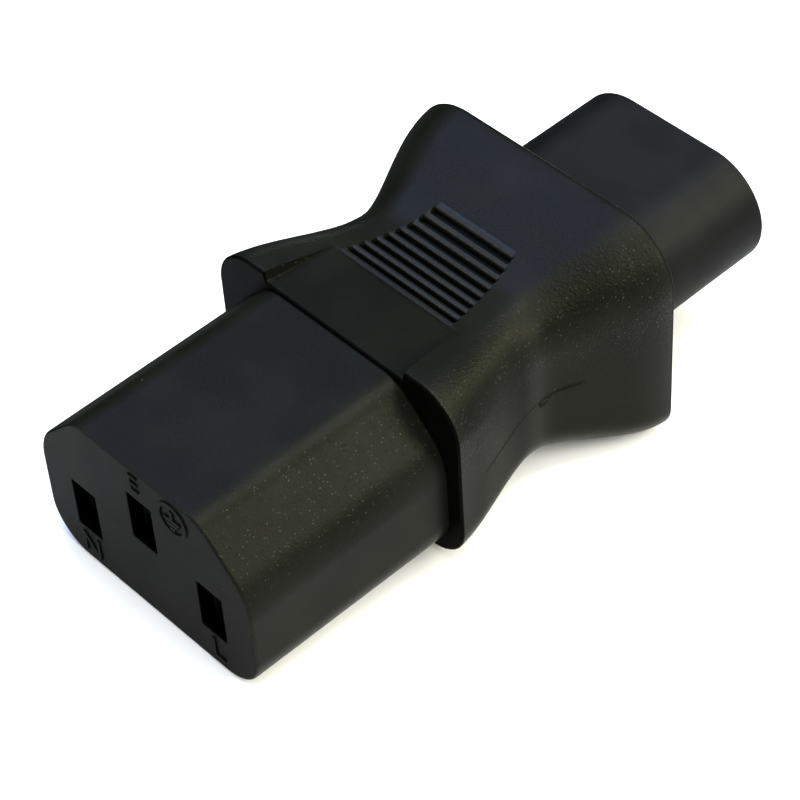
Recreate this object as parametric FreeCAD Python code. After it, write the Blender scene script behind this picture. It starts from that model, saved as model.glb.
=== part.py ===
import FreeCAD, Part
import math
import os

# Power adapter with a figure-8 inlet at the rear and a C13 socket nose at the front.
# +Y runs from the socket face to the inlet mouth, +Z is up, the origin is bottom centre.
# Stations are distances in mm behind the socket face.

V = FreeCAD.Vector
X_AXIS = V(1, 0, 0)
Y_AXIS = V(0, 1, 0)
Z_AXIS = V(0, 0, 1)

# Lengths of the three stretches of the outside
NOSE_LEN = 18.9
GRIP_LEN = 22.0
SHROUD_LEN = 14.6
LENGTH = NOSE_LEN + GRIP_LEN + SHROUD_LEN

# C13 nose, with the earth slot up
NOSE_W = 23.2
NOSE_H = 15.2
NOSE_CHAMFER = 4.8
NOSE_SHOULDER_R = 5.2
NOSE_CREST_R = 1.2
NOSE_FOOT_R = 3.7
NOSE_RIM = 0.2
POLE_PITCH = 14.0
EARTH_RISE = 4.0
POLE_UP = 5.75
SLOT_W = 2.6
SLOT_H = 4.6

# Grip: half width, rise above the nose's centre line and drop below it at three stations
FRONT_HALF = 12.95
FRONT_RISE = 8.65
FRONT_DROP = 8.1
FRONT_TOP_R = 4.0
FRONT_FOOT_R = 3.6
WAIST_AT = 11.1
WAIST_UNDER_AT = 8.6
WAIST_HALF = 10.05
WAIST_RISE = 7.2
WAIST_DROP = 7.4
WAIST_TOP_R = 4.0
WAIST_FOOT_R = 3.1
REAR_HALF = 13.5
REAR_RISE = 10.25
REAR_DROP = 10.1
REAR_TOP_R = 5.3
REAR_FOOT_R = 2.8
FLARE_STRAIGHT = 0.4
SWELL = 0.92
RUN_OUT = 0.86
GRIP_SPANS = 14
FLANGE_EDGE = 0.25

# Label panel, open at the front
PANEL_FRONT_HALF = 7.5
PANEL_REAR_HALF = 6.4
PANEL_LEN = 6.5
PANEL_STEP = 0.15

# Grooved finger rest in the waist
GROOVE_COUNT = 8
GROOVE_PITCH = 1.02
GROOVE_W = 0.62
GROOVE_FLOOR_W = 0.34
GROOVE_DEPTH = 0.5
GROOVE_FIRST = 7.0
GROOVE_FRONT_HALF = 5.8
GROOVE_REAR_HALF = 4.2

# Inlet shroud and its figure-8 recess
SHROUD_W = 19.3
SHROUD_H = 10.4
SHROUD_SINK = 0.6
SHROUD_RIM = 0.4
SHROUD_WALL = 1.2
SHROUD_END_WALL = 1.7
NOTCH_R = 3.0
RECESS_DEPTH = 12.4
RECESS_LEAD = 0.4
BASE_T = 6.3
ANCHOR_W = 8.0
ANCHOR_OUT = 1.0
ANCHOR_T = 1.6
ANCHOR_IN = 0.8

# Inlet pins
PIN_D = 2.4
PIN_PITCH = 8.6
PIN_FREE = 10.1
PIN_SHANK_D = 3.2
PIN_NOSE_LEN = 1.2
PIN_TIP_D = 1.0
CUP_LEN = 3.2
CUP_DEPTH = 2.8

# Socket carrier, its cap and the contacts
FACE_SKIN = 1.2
SIDE_SKIN = 1.7
CARRIER_WALL = 1.0
CHAMBER_LEN = 12.0
CHAMBER_W = 3.3
CHAMBER_H = 5.2
CAP_T = 2.0
SHEET_T = 0.4
CONTACT_H = 4.4
PINCH_GAP = 1.6
LEAF_LEN = 8.0
TAIL_W = 2.2
TAIL_LEN = 6.0
STUB_LEN = 3.0

# Leads between contacts and pins
CORE_D = 1.2
SLEEVE_D = 2.4
CORE_IN = 3.4
STRAIGHT = 1.0

# How far a cutter passes beyond the surface it opens
OVERRUN = 1.0

# Heights and stations that follow from the sizes above
AXIS_Z = REAR_DROP
NOSE_BOTTOM = AXIS_Z - NOSE_H / 2
NOSE_TOP = AXIS_Z + NOSE_H / 2
POLE_Z = NOSE_BOTTOM + POLE_UP
EARTH_Z = POLE_Z + EARTH_RISE
INLET_Z = AXIS_Z - SHROUD_SINK
LOBE_R = SHROUD_H / 2 - SHROUD_WALL
LOBE_OFF = SHROUD_W / 2 - SHROUD_END_WALL - LOBE_R
GRIP_START = NOSE_LEN
GRIP_END = NOSE_LEN + GRIP_LEN
RECESS_FLOOR = LENGTH - RECESS_DEPTH
INLET_ROOT = RECESS_FLOOR - BASE_T
CHAMBER_START = FACE_SKIN + CARRIER_WALL
CHAMBER_END = CHAMBER_START + CHAMBER_LEN
CAP_END = CHAMBER_END + CAP_T
TAIL_END = CHAMBER_END + TAIL_LEN
CUP_START = INLET_ROOT - CUP_LEN


def y_at(station):
    """Y of a station behind the socket face."""
    return station - LENGTH / 2


def ease(t):
    """Smooth step from 0 to 1, level at both ends."""
    return t * t * (3 - 2 * t)


def along_grip(station, front, waist, rear, waist_at=WAIST_AT, run_out=1.0):
    """Value that eases from the front flange to the waist and from the waist to the rear flange."""
    way = station - GRIP_START
    if way <= waist_at:
        t = way / waist_at
        return front + (waist - front) * (FLARE_STRAIGHT * t + (1 - FLARE_STRAIGHT) * ease(t))
    t = min((way - waist_at) / (GRIP_LEN - FLANGE_EDGE - waist_at), 1.0) ** SWELL
    return waist + (rear - waist) * ease(t * run_out) / ease(run_out)


def grip_top(station):
    """Height of the grip's upper surface at a station."""
    return AXIS_Z + along_grip(station, FRONT_RISE, WAIST_RISE, REAR_RISE, WAIST_AT, RUN_OUT)


def rounded_outline(corners, station):
    """Closed wire in the XZ plane at a station, each corner given as x, z and radius."""
    count = len(corners)
    starts = []
    ends = []
    arcs = []
    y = y_at(station)
    for i in range(count):
        x, z, r = corners[i]
        here = V(x, y, z)
        back = V(corners[i - 1][0], y, corners[i - 1][1]) - here
        on = V(corners[(i + 1) % count][0], y, corners[(i + 1) % count][1]) - here
        back.normalize()
        on.normalize()
        half = math.acos(max(-1.0, min(1.0, back.dot(on)))) / 2
        reach = r / math.tan(half)
        first = here + back * reach
        last = here + on * reach
        middle = (back + on).normalize()
        crown = here + middle * (r / math.sin(half) - r)
        starts.append(first)
        ends.append(last)
        arcs.append(Part.Arc(first, crown, last).toShape())
    edges = []
    for i in range(count):
        edges.append(arcs[i])
        edges.append(Part.makeLine(ends[i], starts[(i + 1) % count]))
    return Part.Wire(edges)


def prism(wire, length):
    """Solid from a wire in the XZ plane, drawn out towards +Y."""
    return Part.Face(wire).extrude(Y_AXIS * length)


def nose_outline(inset, station):
    """C13 outline moved inwards by an even inset."""
    half = NOSE_W / 2 - inset
    low = NOSE_BOTTOM + inset
    high = NOSE_TOP - inset
    cut = NOSE_CHAMFER - inset * (2 - math.sqrt(2))
    foot = max(NOSE_FOOT_R - inset, 0.4)
    shoulder = NOSE_SHOULDER_R - inset
    crest = max(NOSE_CREST_R - inset, 0.4)
    corners = [
        (-half, low, foot),
        (half, low, foot),
        (half, high - cut, shoulder),
        (half - cut, high, crest),
        (-half + cut, high, crest),
        (-half, high - cut, shoulder),
    ]
    return rounded_outline(corners, station)


def grip_outline(inset, station):
    """Rounded section of the grip at a station, moved inwards by an even inset."""
    half = along_grip(station, FRONT_HALF, WAIST_HALF, REAR_HALF) - inset
    top = grip_top(station) - inset
    foot = AXIS_Z - along_grip(station, FRONT_DROP, WAIST_DROP, REAR_DROP, WAIST_UNDER_AT, RUN_OUT) + inset
    soft = along_grip(station, FRONT_TOP_R, WAIST_TOP_R, REAR_TOP_R) - inset
    under = along_grip(station, FRONT_FOOT_R, WAIST_FOOT_R, REAR_FOOT_R) - inset
    corners = [
        (-half, foot, under),
        (half, foot, under),
        (half, top, soft),
        (-half, top, soft),
    ]
    return rounded_outline(corners, station)


def stadium_outline(grow, station):
    """Shroud outline, straight above and below with round ends."""
    r = SHROUD_H / 2 + grow
    off = SHROUD_W / 2 - SHROUD_H / 2
    y = y_at(station)
    right = Part.Arc(V(off, y, INLET_Z - r), V(off + r, y, INLET_Z), V(off, y, INLET_Z + r))
    left = Part.Arc(V(-off, y, INLET_Z + r), V(-off - r, y, INLET_Z), V(-off, y, INLET_Z - r))
    top = Part.makeLine(V(off, y, INLET_Z + r), V(-off, y, INLET_Z + r))
    bottom = Part.makeLine(V(-off, y, INLET_Z - r), V(off, y, INLET_Z - r))
    return Part.Wire([right.toShape(), top, left.toShape(), bottom])


def figure_eight_outline(grow, station):
    """Two round lobes joined over a soft notch above and below."""
    lobe = LOBE_R + grow
    notch = NOTCH_R - grow
    y = y_at(station)
    rise = math.sqrt((lobe + notch) ** 2 - LOBE_OFF ** 2)
    touch_x = LOBE_OFF - lobe * LOBE_OFF / (lobe + notch)
    touch_z = lobe * rise / (lobe + notch)
    upper_right = V(touch_x, y, INLET_Z + touch_z)
    lower_right = V(touch_x, y, INLET_Z - touch_z)
    upper_left = V(-touch_x, y, INLET_Z + touch_z)
    lower_left = V(-touch_x, y, INLET_Z - touch_z)
    right = Part.Arc(lower_right, V(LOBE_OFF + lobe, y, INLET_Z), upper_right)
    top = Part.Arc(upper_right, V(0, y, INLET_Z + rise - notch), upper_left)
    left = Part.Arc(upper_left, V(-LOBE_OFF - lobe, y, INLET_Z), lower_left)
    bottom = Part.Arc(lower_left, V(0, y, INLET_Z - rise + notch), lower_right)
    return Part.Wire([right.toShape(), top.toShape(), left.toShape(), bottom.toShape()])


def bar(x, z, width, height, start, end):
    """Straight bar or slot of rectangular section along the length."""
    corner = V(x - width / 2, y_at(start), z - height / 2)
    return Part.makeBox(width, end - start, height, corner)


def rod(x, z, diameter, start, end):
    """Round rod along the length."""
    return Part.makeCylinder(diameter / 2, end - start, V(x, y_at(start), z), Y_AXIS)


def lead_bends(x):
    """The two points where a lead bends, behind its contact's tail and before its pin's cup."""
    pole_bend = V(x, y_at(TAIL_END + STRAIGHT), POLE_Z)
    pin_bend = V(math.copysign(PIN_PITCH / 2, x), y_at(CUP_START - STRAIGHT), INLET_Z)
    return pole_bend, pin_bend


def lead_core(x):
    """Bare wire from the bottom of the tail's bore to the bottom of the solder cup."""
    pole_bend, pin_bend = lead_bends(x)
    start = V(x, y_at(TAIL_END - CORE_IN), POLE_Z)
    end = V(pin_bend.x, y_at(CUP_START + CUP_DEPTH), INLET_Z)
    spine = Part.makePolygon([start, pole_bend, pin_bend, end])
    ring = Part.makeCircle(CORE_D / 2, start, Y_AXIS)
    return spine.makePipeShell([Part.Wire([ring])], True, False, 1)


def lead_sleeve(x):
    """Straight insulating sleeve between the two bends, still without its bore."""
    pole_bend, pin_bend = lead_bends(x)
    run = pin_bend - pole_bend
    return Part.makeCylinder(SLEEVE_D / 2, run.Length, pole_bend, run)


def leaf_bow(x, side, wide, z):
    """One face of a bowed leaf, narrow halfway where it grips the blade."""
    mouth = y_at(CHAMBER_START)
    narrow = wide - (CHAMBER_W / 2 - SHEET_T - PINCH_GAP / 2)
    return Part.Arc(
        V(x + side * wide, mouth, z),
        V(x + side * narrow, mouth + LEAF_LEN / 2, z),
        V(x + side * wide, mouth + LEAF_LEN, z),
    ).toShape()


def contact(x, z, wired):
    """Folded socket contact: two bowed leaves, a web behind them and a tail."""
    outer = CHAMBER_W / 2
    inner = outer - SHEET_T
    mouth = y_at(CHAMBER_START)
    web = y_at(CHAMBER_END)
    settle = mouth + LEAF_LEN
    low = z - CONTACT_H / 2
    halves = []
    for side in (1, -1):
        edges = [
            leaf_bow(x, side, inner, low),
            Part.makeLine(V(x + side * inner, settle, low), V(x + side * inner, web - SHEET_T, low)),
            Part.makeLine(V(x + side * inner, web - SHEET_T, low), V(x, web - SHEET_T, low)),
            Part.makeLine(V(x, web - SHEET_T, low), V(x, web, low)),
            Part.makeLine(V(x, web, low), V(x + side * outer, web, low)),
            Part.makeLine(V(x + side * outer, web, low), V(x + side * outer, settle, low)),
            leaf_bow(x, side, outer, low),
            Part.makeLine(V(x + side * outer, mouth, low), V(x + side * inner, mouth, low)),
        ]
        face = Part.Face(Part.Wire(Part.__sortEdges__(edges)))
        halves.append(face.extrude(Z_AXIS * CONTACT_H))
    clip = halves[0].fuse(halves[1])
    if wired:
        tail = bar(x, z, TAIL_W, TAIL_W, CHAMBER_END - SHEET_T / 2, TAIL_END)
        tail = tail.cut(rod(x, z, CORE_D, TAIL_END - CORE_IN, TAIL_END))
    else:
        tail = bar(x, z, TAIL_W, TAIL_W, CHAMBER_END - SHEET_T / 2, CHAMBER_END + STUB_LEN)
    return clip.fuse(tail).removeSplitter()


def inlet_pin(x):
    """Turned inlet pin: solder cup, thicker shank in the base, free length and tapered nose."""
    r = PIN_D / 2
    shank = PIN_SHANK_D / 2
    cup_floor = y_at(CUP_START + CUP_DEPTH)
    tip = y_at(RECESS_FLOOR + PIN_FREE)
    profile = Part.makePolygon([
        V(0, cup_floor, 0),
        V(CORE_D / 2, cup_floor, 0),
        V(CORE_D / 2, y_at(CUP_START), 0),
        V(r, y_at(CUP_START), 0),
        V(r, y_at(INLET_ROOT), 0),
        V(shank, y_at(INLET_ROOT), 0),
        V(shank, y_at(RECESS_FLOOR), 0),
        V(r, y_at(RECESS_FLOOR), 0),
        V(r, tip - PIN_NOSE_LEN, 0),
        V(PIN_TIP_D / 2, tip, 0),
        V(0, tip, 0),
        V(0, cup_floor, 0),
    ])
    solid = Part.Face(profile).revolve(V(0, 0, 0), Y_AXIS, 360)
    solid.translate(V(x, 0, INLET_Z))
    return solid


def groove_cutter(index):
    """Cutter with sloping walls for one groove of the finger rest."""
    share = index / (GROOVE_COUNT - 1)
    station = GRIP_START + GROOVE_FIRST + index * GROOVE_PITCH
    half = GROOVE_FRONT_HALF + (GROOVE_REAR_HALF - GROOVE_FRONT_HALF) * share
    y = y_at(station)
    brim = grip_top(station)
    outline = Part.makePolygon([
        V(-half, y - GROOVE_FLOOR_W / 2, brim - GROOVE_DEPTH),
        V(-half, y + GROOVE_FLOOR_W / 2, brim - GROOVE_DEPTH),
        V(-half, y + GROOVE_W / 2, brim),
        V(-half, y + GROOVE_W / 2, brim + OVERRUN),
        V(-half, y - GROOVE_W / 2, brim + OVERRUN),
        V(-half, y - GROOVE_W / 2, brim),
        V(-half, y - GROOVE_FLOOR_W / 2, brim - GROOVE_DEPTH),
    ])
    return Part.Face(outline).extrude(X_AXIS * (2 * half))


def panel_cutter():
    """Wedge-shaped cutter that sinks the label panel level with the nose."""
    floor = NOSE_TOP + PANEL_STEP
    front = y_at(GRIP_START - OVERRUN)
    rear = y_at(GRIP_START + PANEL_LEN)
    wire = Part.makePolygon([
        V(-PANEL_FRONT_HALF, front, floor),
        V(PANEL_FRONT_HALF, front, floor),
        V(PANEL_REAR_HALF, rear, floor),
        V(-PANEL_REAR_HALF, rear, floor),
        V(-PANEL_FRONT_HALF, front, floor),
    ])
    return Part.Face(wire).extrude(Z_AXIS * (FRONT_RISE - NOSE_H / 2 + OVERRUN))


POLES = {"line": (POLE_PITCH / 2, POLE_Z), "neutral": (-POLE_PITCH / 2, POLE_Z), "earth": (0.0, EARTH_Z)}
WIRED = ("line", "neutral")

# Contacts, with a short tail on the earth pole that has no pin to reach
contacts = {}
for pole, (px, pz) in POLES.items():
    contacts[pole] = contact(px, pz, pole in WIRED)

# Inlet pins
pins = {}
for pole in WIRED:
    pins[pole] = inlet_pin(math.copysign(PIN_PITCH / 2, POLES[pole][0]))

# Leads: a bare core from tail to solder cup and an insulating sleeve on its slanted run
cores = {}
sleeves = {}
for pole in WIRED:
    px = POLES[pole][0]
    cores[pole] = lead_core(px)
    sleeves[pole] = lead_sleeve(px).cut(cores[pole])

# Rigid carrier with one chamber and one slot for each pole
carrier = prism(nose_outline(SIDE_SKIN, FACE_SKIN), CHAMBER_END - FACE_SKIN)
for px, pz in POLES.values():
    carrier = carrier.cut(bar(px, pz, SLOT_W, SLOT_H, FACE_SKIN, CHAMBER_START))
    carrier = carrier.cut(bar(px, pz, CHAMBER_W, CHAMBER_H, CHAMBER_START, CHAMBER_END))

# Cap behind the chambers, with a hole for each tail
cap = prism(nose_outline(SIDE_SKIN, CHAMBER_END), CAP_T)
for px, pz in POLES.values():
    cap = cap.cut(bar(px, pz, TAIL_W, TAIL_W, CHAMBER_END, CAP_END))

# Rigid inlet: shroud, anchoring ribs inside the grip, figure-8 recess and pin seats
inlet = prism(stadium_outline(0.0, INLET_ROOT), LENGTH - SHROUD_RIM - INLET_ROOT)
inlet_rim = Part.makeLoft([
    stadium_outline(0.0, LENGTH - SHROUD_RIM),
    stadium_outline(-SHROUD_RIM, LENGTH),
], True, True)
anchor_start = INLET_ROOT + ANCHOR_IN
anchor = bar(0, INLET_Z, ANCHOR_W, SHROUD_H + 2 * ANCHOR_OUT, anchor_start, anchor_start + ANCHOR_T)
inlet = inlet.fuse([inlet_rim, anchor])
recess = prism(figure_eight_outline(0.0, RECESS_FLOOR), RECESS_DEPTH)
mouth = Part.makeLoft([
    figure_eight_outline(0.0, LENGTH - RECESS_LEAD),
    figure_eight_outline(RECESS_LEAD, LENGTH),
], True, True)
inlet = inlet.cut(recess).cut(mouth)
for pin in pins.values():
    inlet = inlet.cut(pin)
inlet = inlet.removeSplitter()

# Outer moulding: waisted grip with crisp flanges and the nose in front of it
span = (GRIP_LEN - 2 * FLANGE_EDGE) / GRIP_SPANS
sections = [grip_outline(FLANGE_EDGE, GRIP_START)]
for i in range(GRIP_SPANS + 1):
    sections.append(grip_outline(0.0, GRIP_START + FLANGE_EDGE + i * span))
sections.append(grip_outline(FLANGE_EDGE, GRIP_END))
grip = Part.makeLoft(sections, True, True)
grip = grip.cut(panel_cutter())
for i in range(GROOVE_COUNT):
    grip = grip.cut(groove_cutter(i))
nose = prism(nose_outline(0.0, NOSE_RIM), NOSE_LEN - NOSE_RIM + OVERRUN)
nose_rim = Part.makeLoft([nose_outline(NOSE_RIM, 0.0), nose_outline(0.0, NOSE_RIM)], True, True)
overmould = grip.fuse([nose, nose_rim])
for px, pz in POLES.values():
    overmould = overmould.cut(bar(px, pz, SLOT_W, SLOT_H, -OVERRUN, FACE_SKIN))
overmould = overmould.cut(prism(nose_outline(SIDE_SKIN, FACE_SKIN), CAP_END - FACE_SKIN))
for pole, (px, pz) in POLES.items():
    tail_end = TAIL_END if pole in WIRED else CHAMBER_END + STUB_LEN
    overmould = overmould.cut(bar(px, pz, TAIL_W, TAIL_W, CAP_END, tail_end))
for pole in WIRED:
    px = POLES[pole][0]
    overmould = overmould.cut(cores[pole]).cut(lead_sleeve(px))
    overmould = overmould.cut(rod(math.copysign(PIN_PITCH / 2, px), INLET_Z, PIN_D, CUP_START, INLET_ROOT))
overmould = overmould.cut(prism(stadium_outline(0.0, INLET_ROOT), GRIP_END - INLET_ROOT + OVERRUN))
overmould = overmould.cut(anchor)
overmould = overmould.removeSplitter()

nodes = {
    "overmould": overmould,
    "inlet_body": inlet,
    "socket_carrier": carrier,
    "socket_cap": cap,
}
for pole, shape in contacts.items():
    nodes["contact_" + pole] = shape
for pole in WIRED:
    nodes["pin_" + pole] = pins[pole]
    nodes["lead_" + pole + "_core"] = cores[pole]
    nodes["lead_" + pole + "_sleeve"] = sleeves[pole]

os.makedirs("parts", exist_ok=True)
for name, shape in nodes.items():
    shape.exportStep("parts/" + name + ".step")
    box = shape.BoundBox
    print(name, "solids", len(shape.Solids), "valid", shape.isValid(), "volume", round(shape.Volume, 1),
          "box", [round(v, 2) for v in (box.XMin, box.XMax, box.YMin, box.YMax, box.ZMin, box.ZMax)])
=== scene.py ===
"""Looks of a straight mains adapter with a C13 socket nose and a figure-8 inlet.

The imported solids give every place. The mouldings and pins that can be seen are rebuilt as fine
meshes over them, the pieces inside keep their solids, and each piece gets its own finish. Sizes
are millimetres in the part's frame: +Y runs from the socket face to the inlet mouth, +Z is up.
"""

import logging
import math
from dataclasses import asdict, dataclass
from enum import Enum
from typing import Iterable, Sequence, Union

import bmesh
import bpy
from mathutils import Matrix, Vector


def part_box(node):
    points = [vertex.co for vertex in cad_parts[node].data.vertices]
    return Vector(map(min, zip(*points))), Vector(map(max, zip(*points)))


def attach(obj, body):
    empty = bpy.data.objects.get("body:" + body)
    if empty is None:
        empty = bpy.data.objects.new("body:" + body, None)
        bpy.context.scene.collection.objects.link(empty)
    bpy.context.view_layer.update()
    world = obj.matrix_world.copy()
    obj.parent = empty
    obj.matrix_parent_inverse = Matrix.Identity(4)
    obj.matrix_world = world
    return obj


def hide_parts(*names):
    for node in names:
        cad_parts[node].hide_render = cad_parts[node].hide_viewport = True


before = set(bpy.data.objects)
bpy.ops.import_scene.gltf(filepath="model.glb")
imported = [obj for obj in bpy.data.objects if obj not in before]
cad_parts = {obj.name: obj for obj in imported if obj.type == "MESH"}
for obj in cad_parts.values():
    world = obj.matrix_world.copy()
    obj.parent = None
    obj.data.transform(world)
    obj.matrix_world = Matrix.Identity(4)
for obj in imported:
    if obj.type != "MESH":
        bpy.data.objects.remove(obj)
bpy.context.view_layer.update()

MM = 0.001
BODY = "root"
LOG = logging.getLogger("adapter")

# In mm: cutters run PAST an outer face and LAP into the next one, and points within MERGE are one.
PAST = 1.0
LAP = 0.5
MERGE = 0.0005

Pair = tuple[float, float]
Loop = list[Pair]
Triple = tuple[float, float, float]
Colour = Triple
Value = Union["Term", float]

WHITE: Colour = (1.0, 1.0, 1.0)


class Cut(Enum):
    """How one solid works on another."""

    JOIN = "UNION"
    REMOVE = "DIFFERENCE"


class Pole(Enum):
    """Poles of the socket, by the ends of their node names."""

    LINE = "line"
    NEUTRAL = "neutral"
    EARTH = "earth"


class Cells(Enum):
    """Kinds of cell pattern, by the names of their Voronoi features."""

    SHARP = "F1"
    SOFT = "SMOOTH_F1"


WIRED = (Pole.LINE, Pole.NEUTRAL)


def span(node: str, axis: int) -> Pair:
    """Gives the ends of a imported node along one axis.

    Args:
        node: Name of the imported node.
        axis: 0, 1 or 2 for X, Y or Z.

    Returns:
        The lowest and the highest place in mm.
    """
    low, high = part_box(node)
    return low[axis] / MM, high[axis] / MM


def middle(node: str, axis: int) -> float:
    """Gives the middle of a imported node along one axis, in mm."""
    return sum(span(node, axis)) / 2


@dataclass(frozen=True)
class Places:
    """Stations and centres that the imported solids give, in mm."""

    face_y: float = span("overmould", 1)[0]
    carrier_y: float = span("socket_carrier", 1)[0]
    cap_end_y: float = span("socket_cap", 1)[1]
    tail_end_y: float = span("contact_line", 1)[1]
    stub_end_y: float = span("contact_earth", 1)[1]
    cup_y: float = span("pin_line", 1)[0]
    root_y: float = span("inlet_body", 1)[0]
    rear_y: float = span("overmould", 1)[1]
    tip_y: float = span("pin_line", 1)[1]
    mouth_y: float = span("inlet_body", 1)[1]
    pin_x: float = middle("pin_line", 0)
    inlet_z: float = middle("pin_line", 2)
    inlet_half: float = span("inlet_body", 0)[1]
    anchor_z: Pair = span("inlet_body", 2)

    def pole(self, pole: Pole) -> Pair:
        """Gives the x and z of a pole's slot."""
        node = "contact_" + pole.value
        return middle(node, 0), middle(node, 2)


PLACES = Places()


class Term:
    """A number in a node tree that is used in plain arithmetic."""

    def __init__(self, tree: bpy.types.NodeTree, socket: bpy.types.NodeSocket) -> None:
        """Wraps an output socket.

        Args:
            tree: Tree that holds the socket.
            socket: Output that carries the number.
        """
        self.tree = tree
        self.socket = socket

    def math(self, operation: str, *others: Value, clamp: bool = False) -> "Term":
        """Joins this number and others in one Math node.

        Args:
            operation: Name of the Math node's operation.
            others: Further operands, terms or plain numbers.
            clamp: Whether the result is held between 0 and 1.

        Returns:
            The node's result.
        """
        node = self.tree.nodes.new("ShaderNodeMath")
        node.operation = operation
        node.use_clamp = clamp
        for socket, value in zip(node.inputs, (self, *others)):
            feed(socket, value)
        return Term(self.tree, node.outputs[0])

    def remap(self, low: Value, high: Value, to_low: Value, to_high: Value) -> "Term":
        """Carries this number from one range to another along a smooth step.

        Args:
            low: Start of the range read.
            high: End of the range read.
            to_low: Result at the start and before it.
            to_high: Result at the end and after it.

        Returns:
            The carried number.
        """
        node = self.tree.nodes.new("ShaderNodeMapRange")
        node.interpolation_type = "SMOOTHSTEP"
        for socket, value in zip(node.inputs, (self, low, high, to_low, to_high)):
            feed(socket, value)
        return Term(self.tree, node.outputs[0])

    def rise(self, low: Value, high: Value) -> "Term":
        """Climbs from 0 at the low end of a range to 1 at its high end."""
        return self.remap(low, high, 0.0, 1.0)

    def fall(self, low: Value, high: Value) -> "Term":
        """Sinks from 1 at the low end of a range to 0 at its high end."""
        return self.remap(low, high, 1.0, 0.0)

    def dim(self, share: float) -> "Term":
        """Gives the factor that takes a share away where this mask is full."""
        return 1.0 - self * share

    def __add__(self, other: Value) -> "Term":
        """Adds."""
        return self.math("ADD", other)

    def __mul__(self, other: Value) -> "Term":
        """Multiplies."""
        return self.math("MULTIPLY", other)

    def __sub__(self, other: Value) -> "Term":
        """Takes away."""
        return self.math("SUBTRACT", other)

    def __rsub__(self, other: float) -> "Term":
        """Takes this number away from a plain one."""
        return self * -1.0 + other

    def __truediv__(self, other: Value) -> "Term":
        """Divides."""
        return self.math("DIVIDE", other)

    def __abs__(self) -> "Term":
        """Drops the sign."""
        return self.math("ABSOLUTE")

    def ease(self) -> "Term":
        """Smooth step of a number between 0 and 1."""
        return self * self * (3.0 - self * 2.0)


def feed(socket: bpy.types.NodeSocket, value: Value) -> None:
    """Puts a term or a plain number into an input socket.

    Args:
        socket: Input that takes the value.
        value: Term to link or number to set.
    """
    if isinstance(value, Term):
        value.tree.links.new(value.socket, socket)
    else:
        socket.default_value = value


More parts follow.
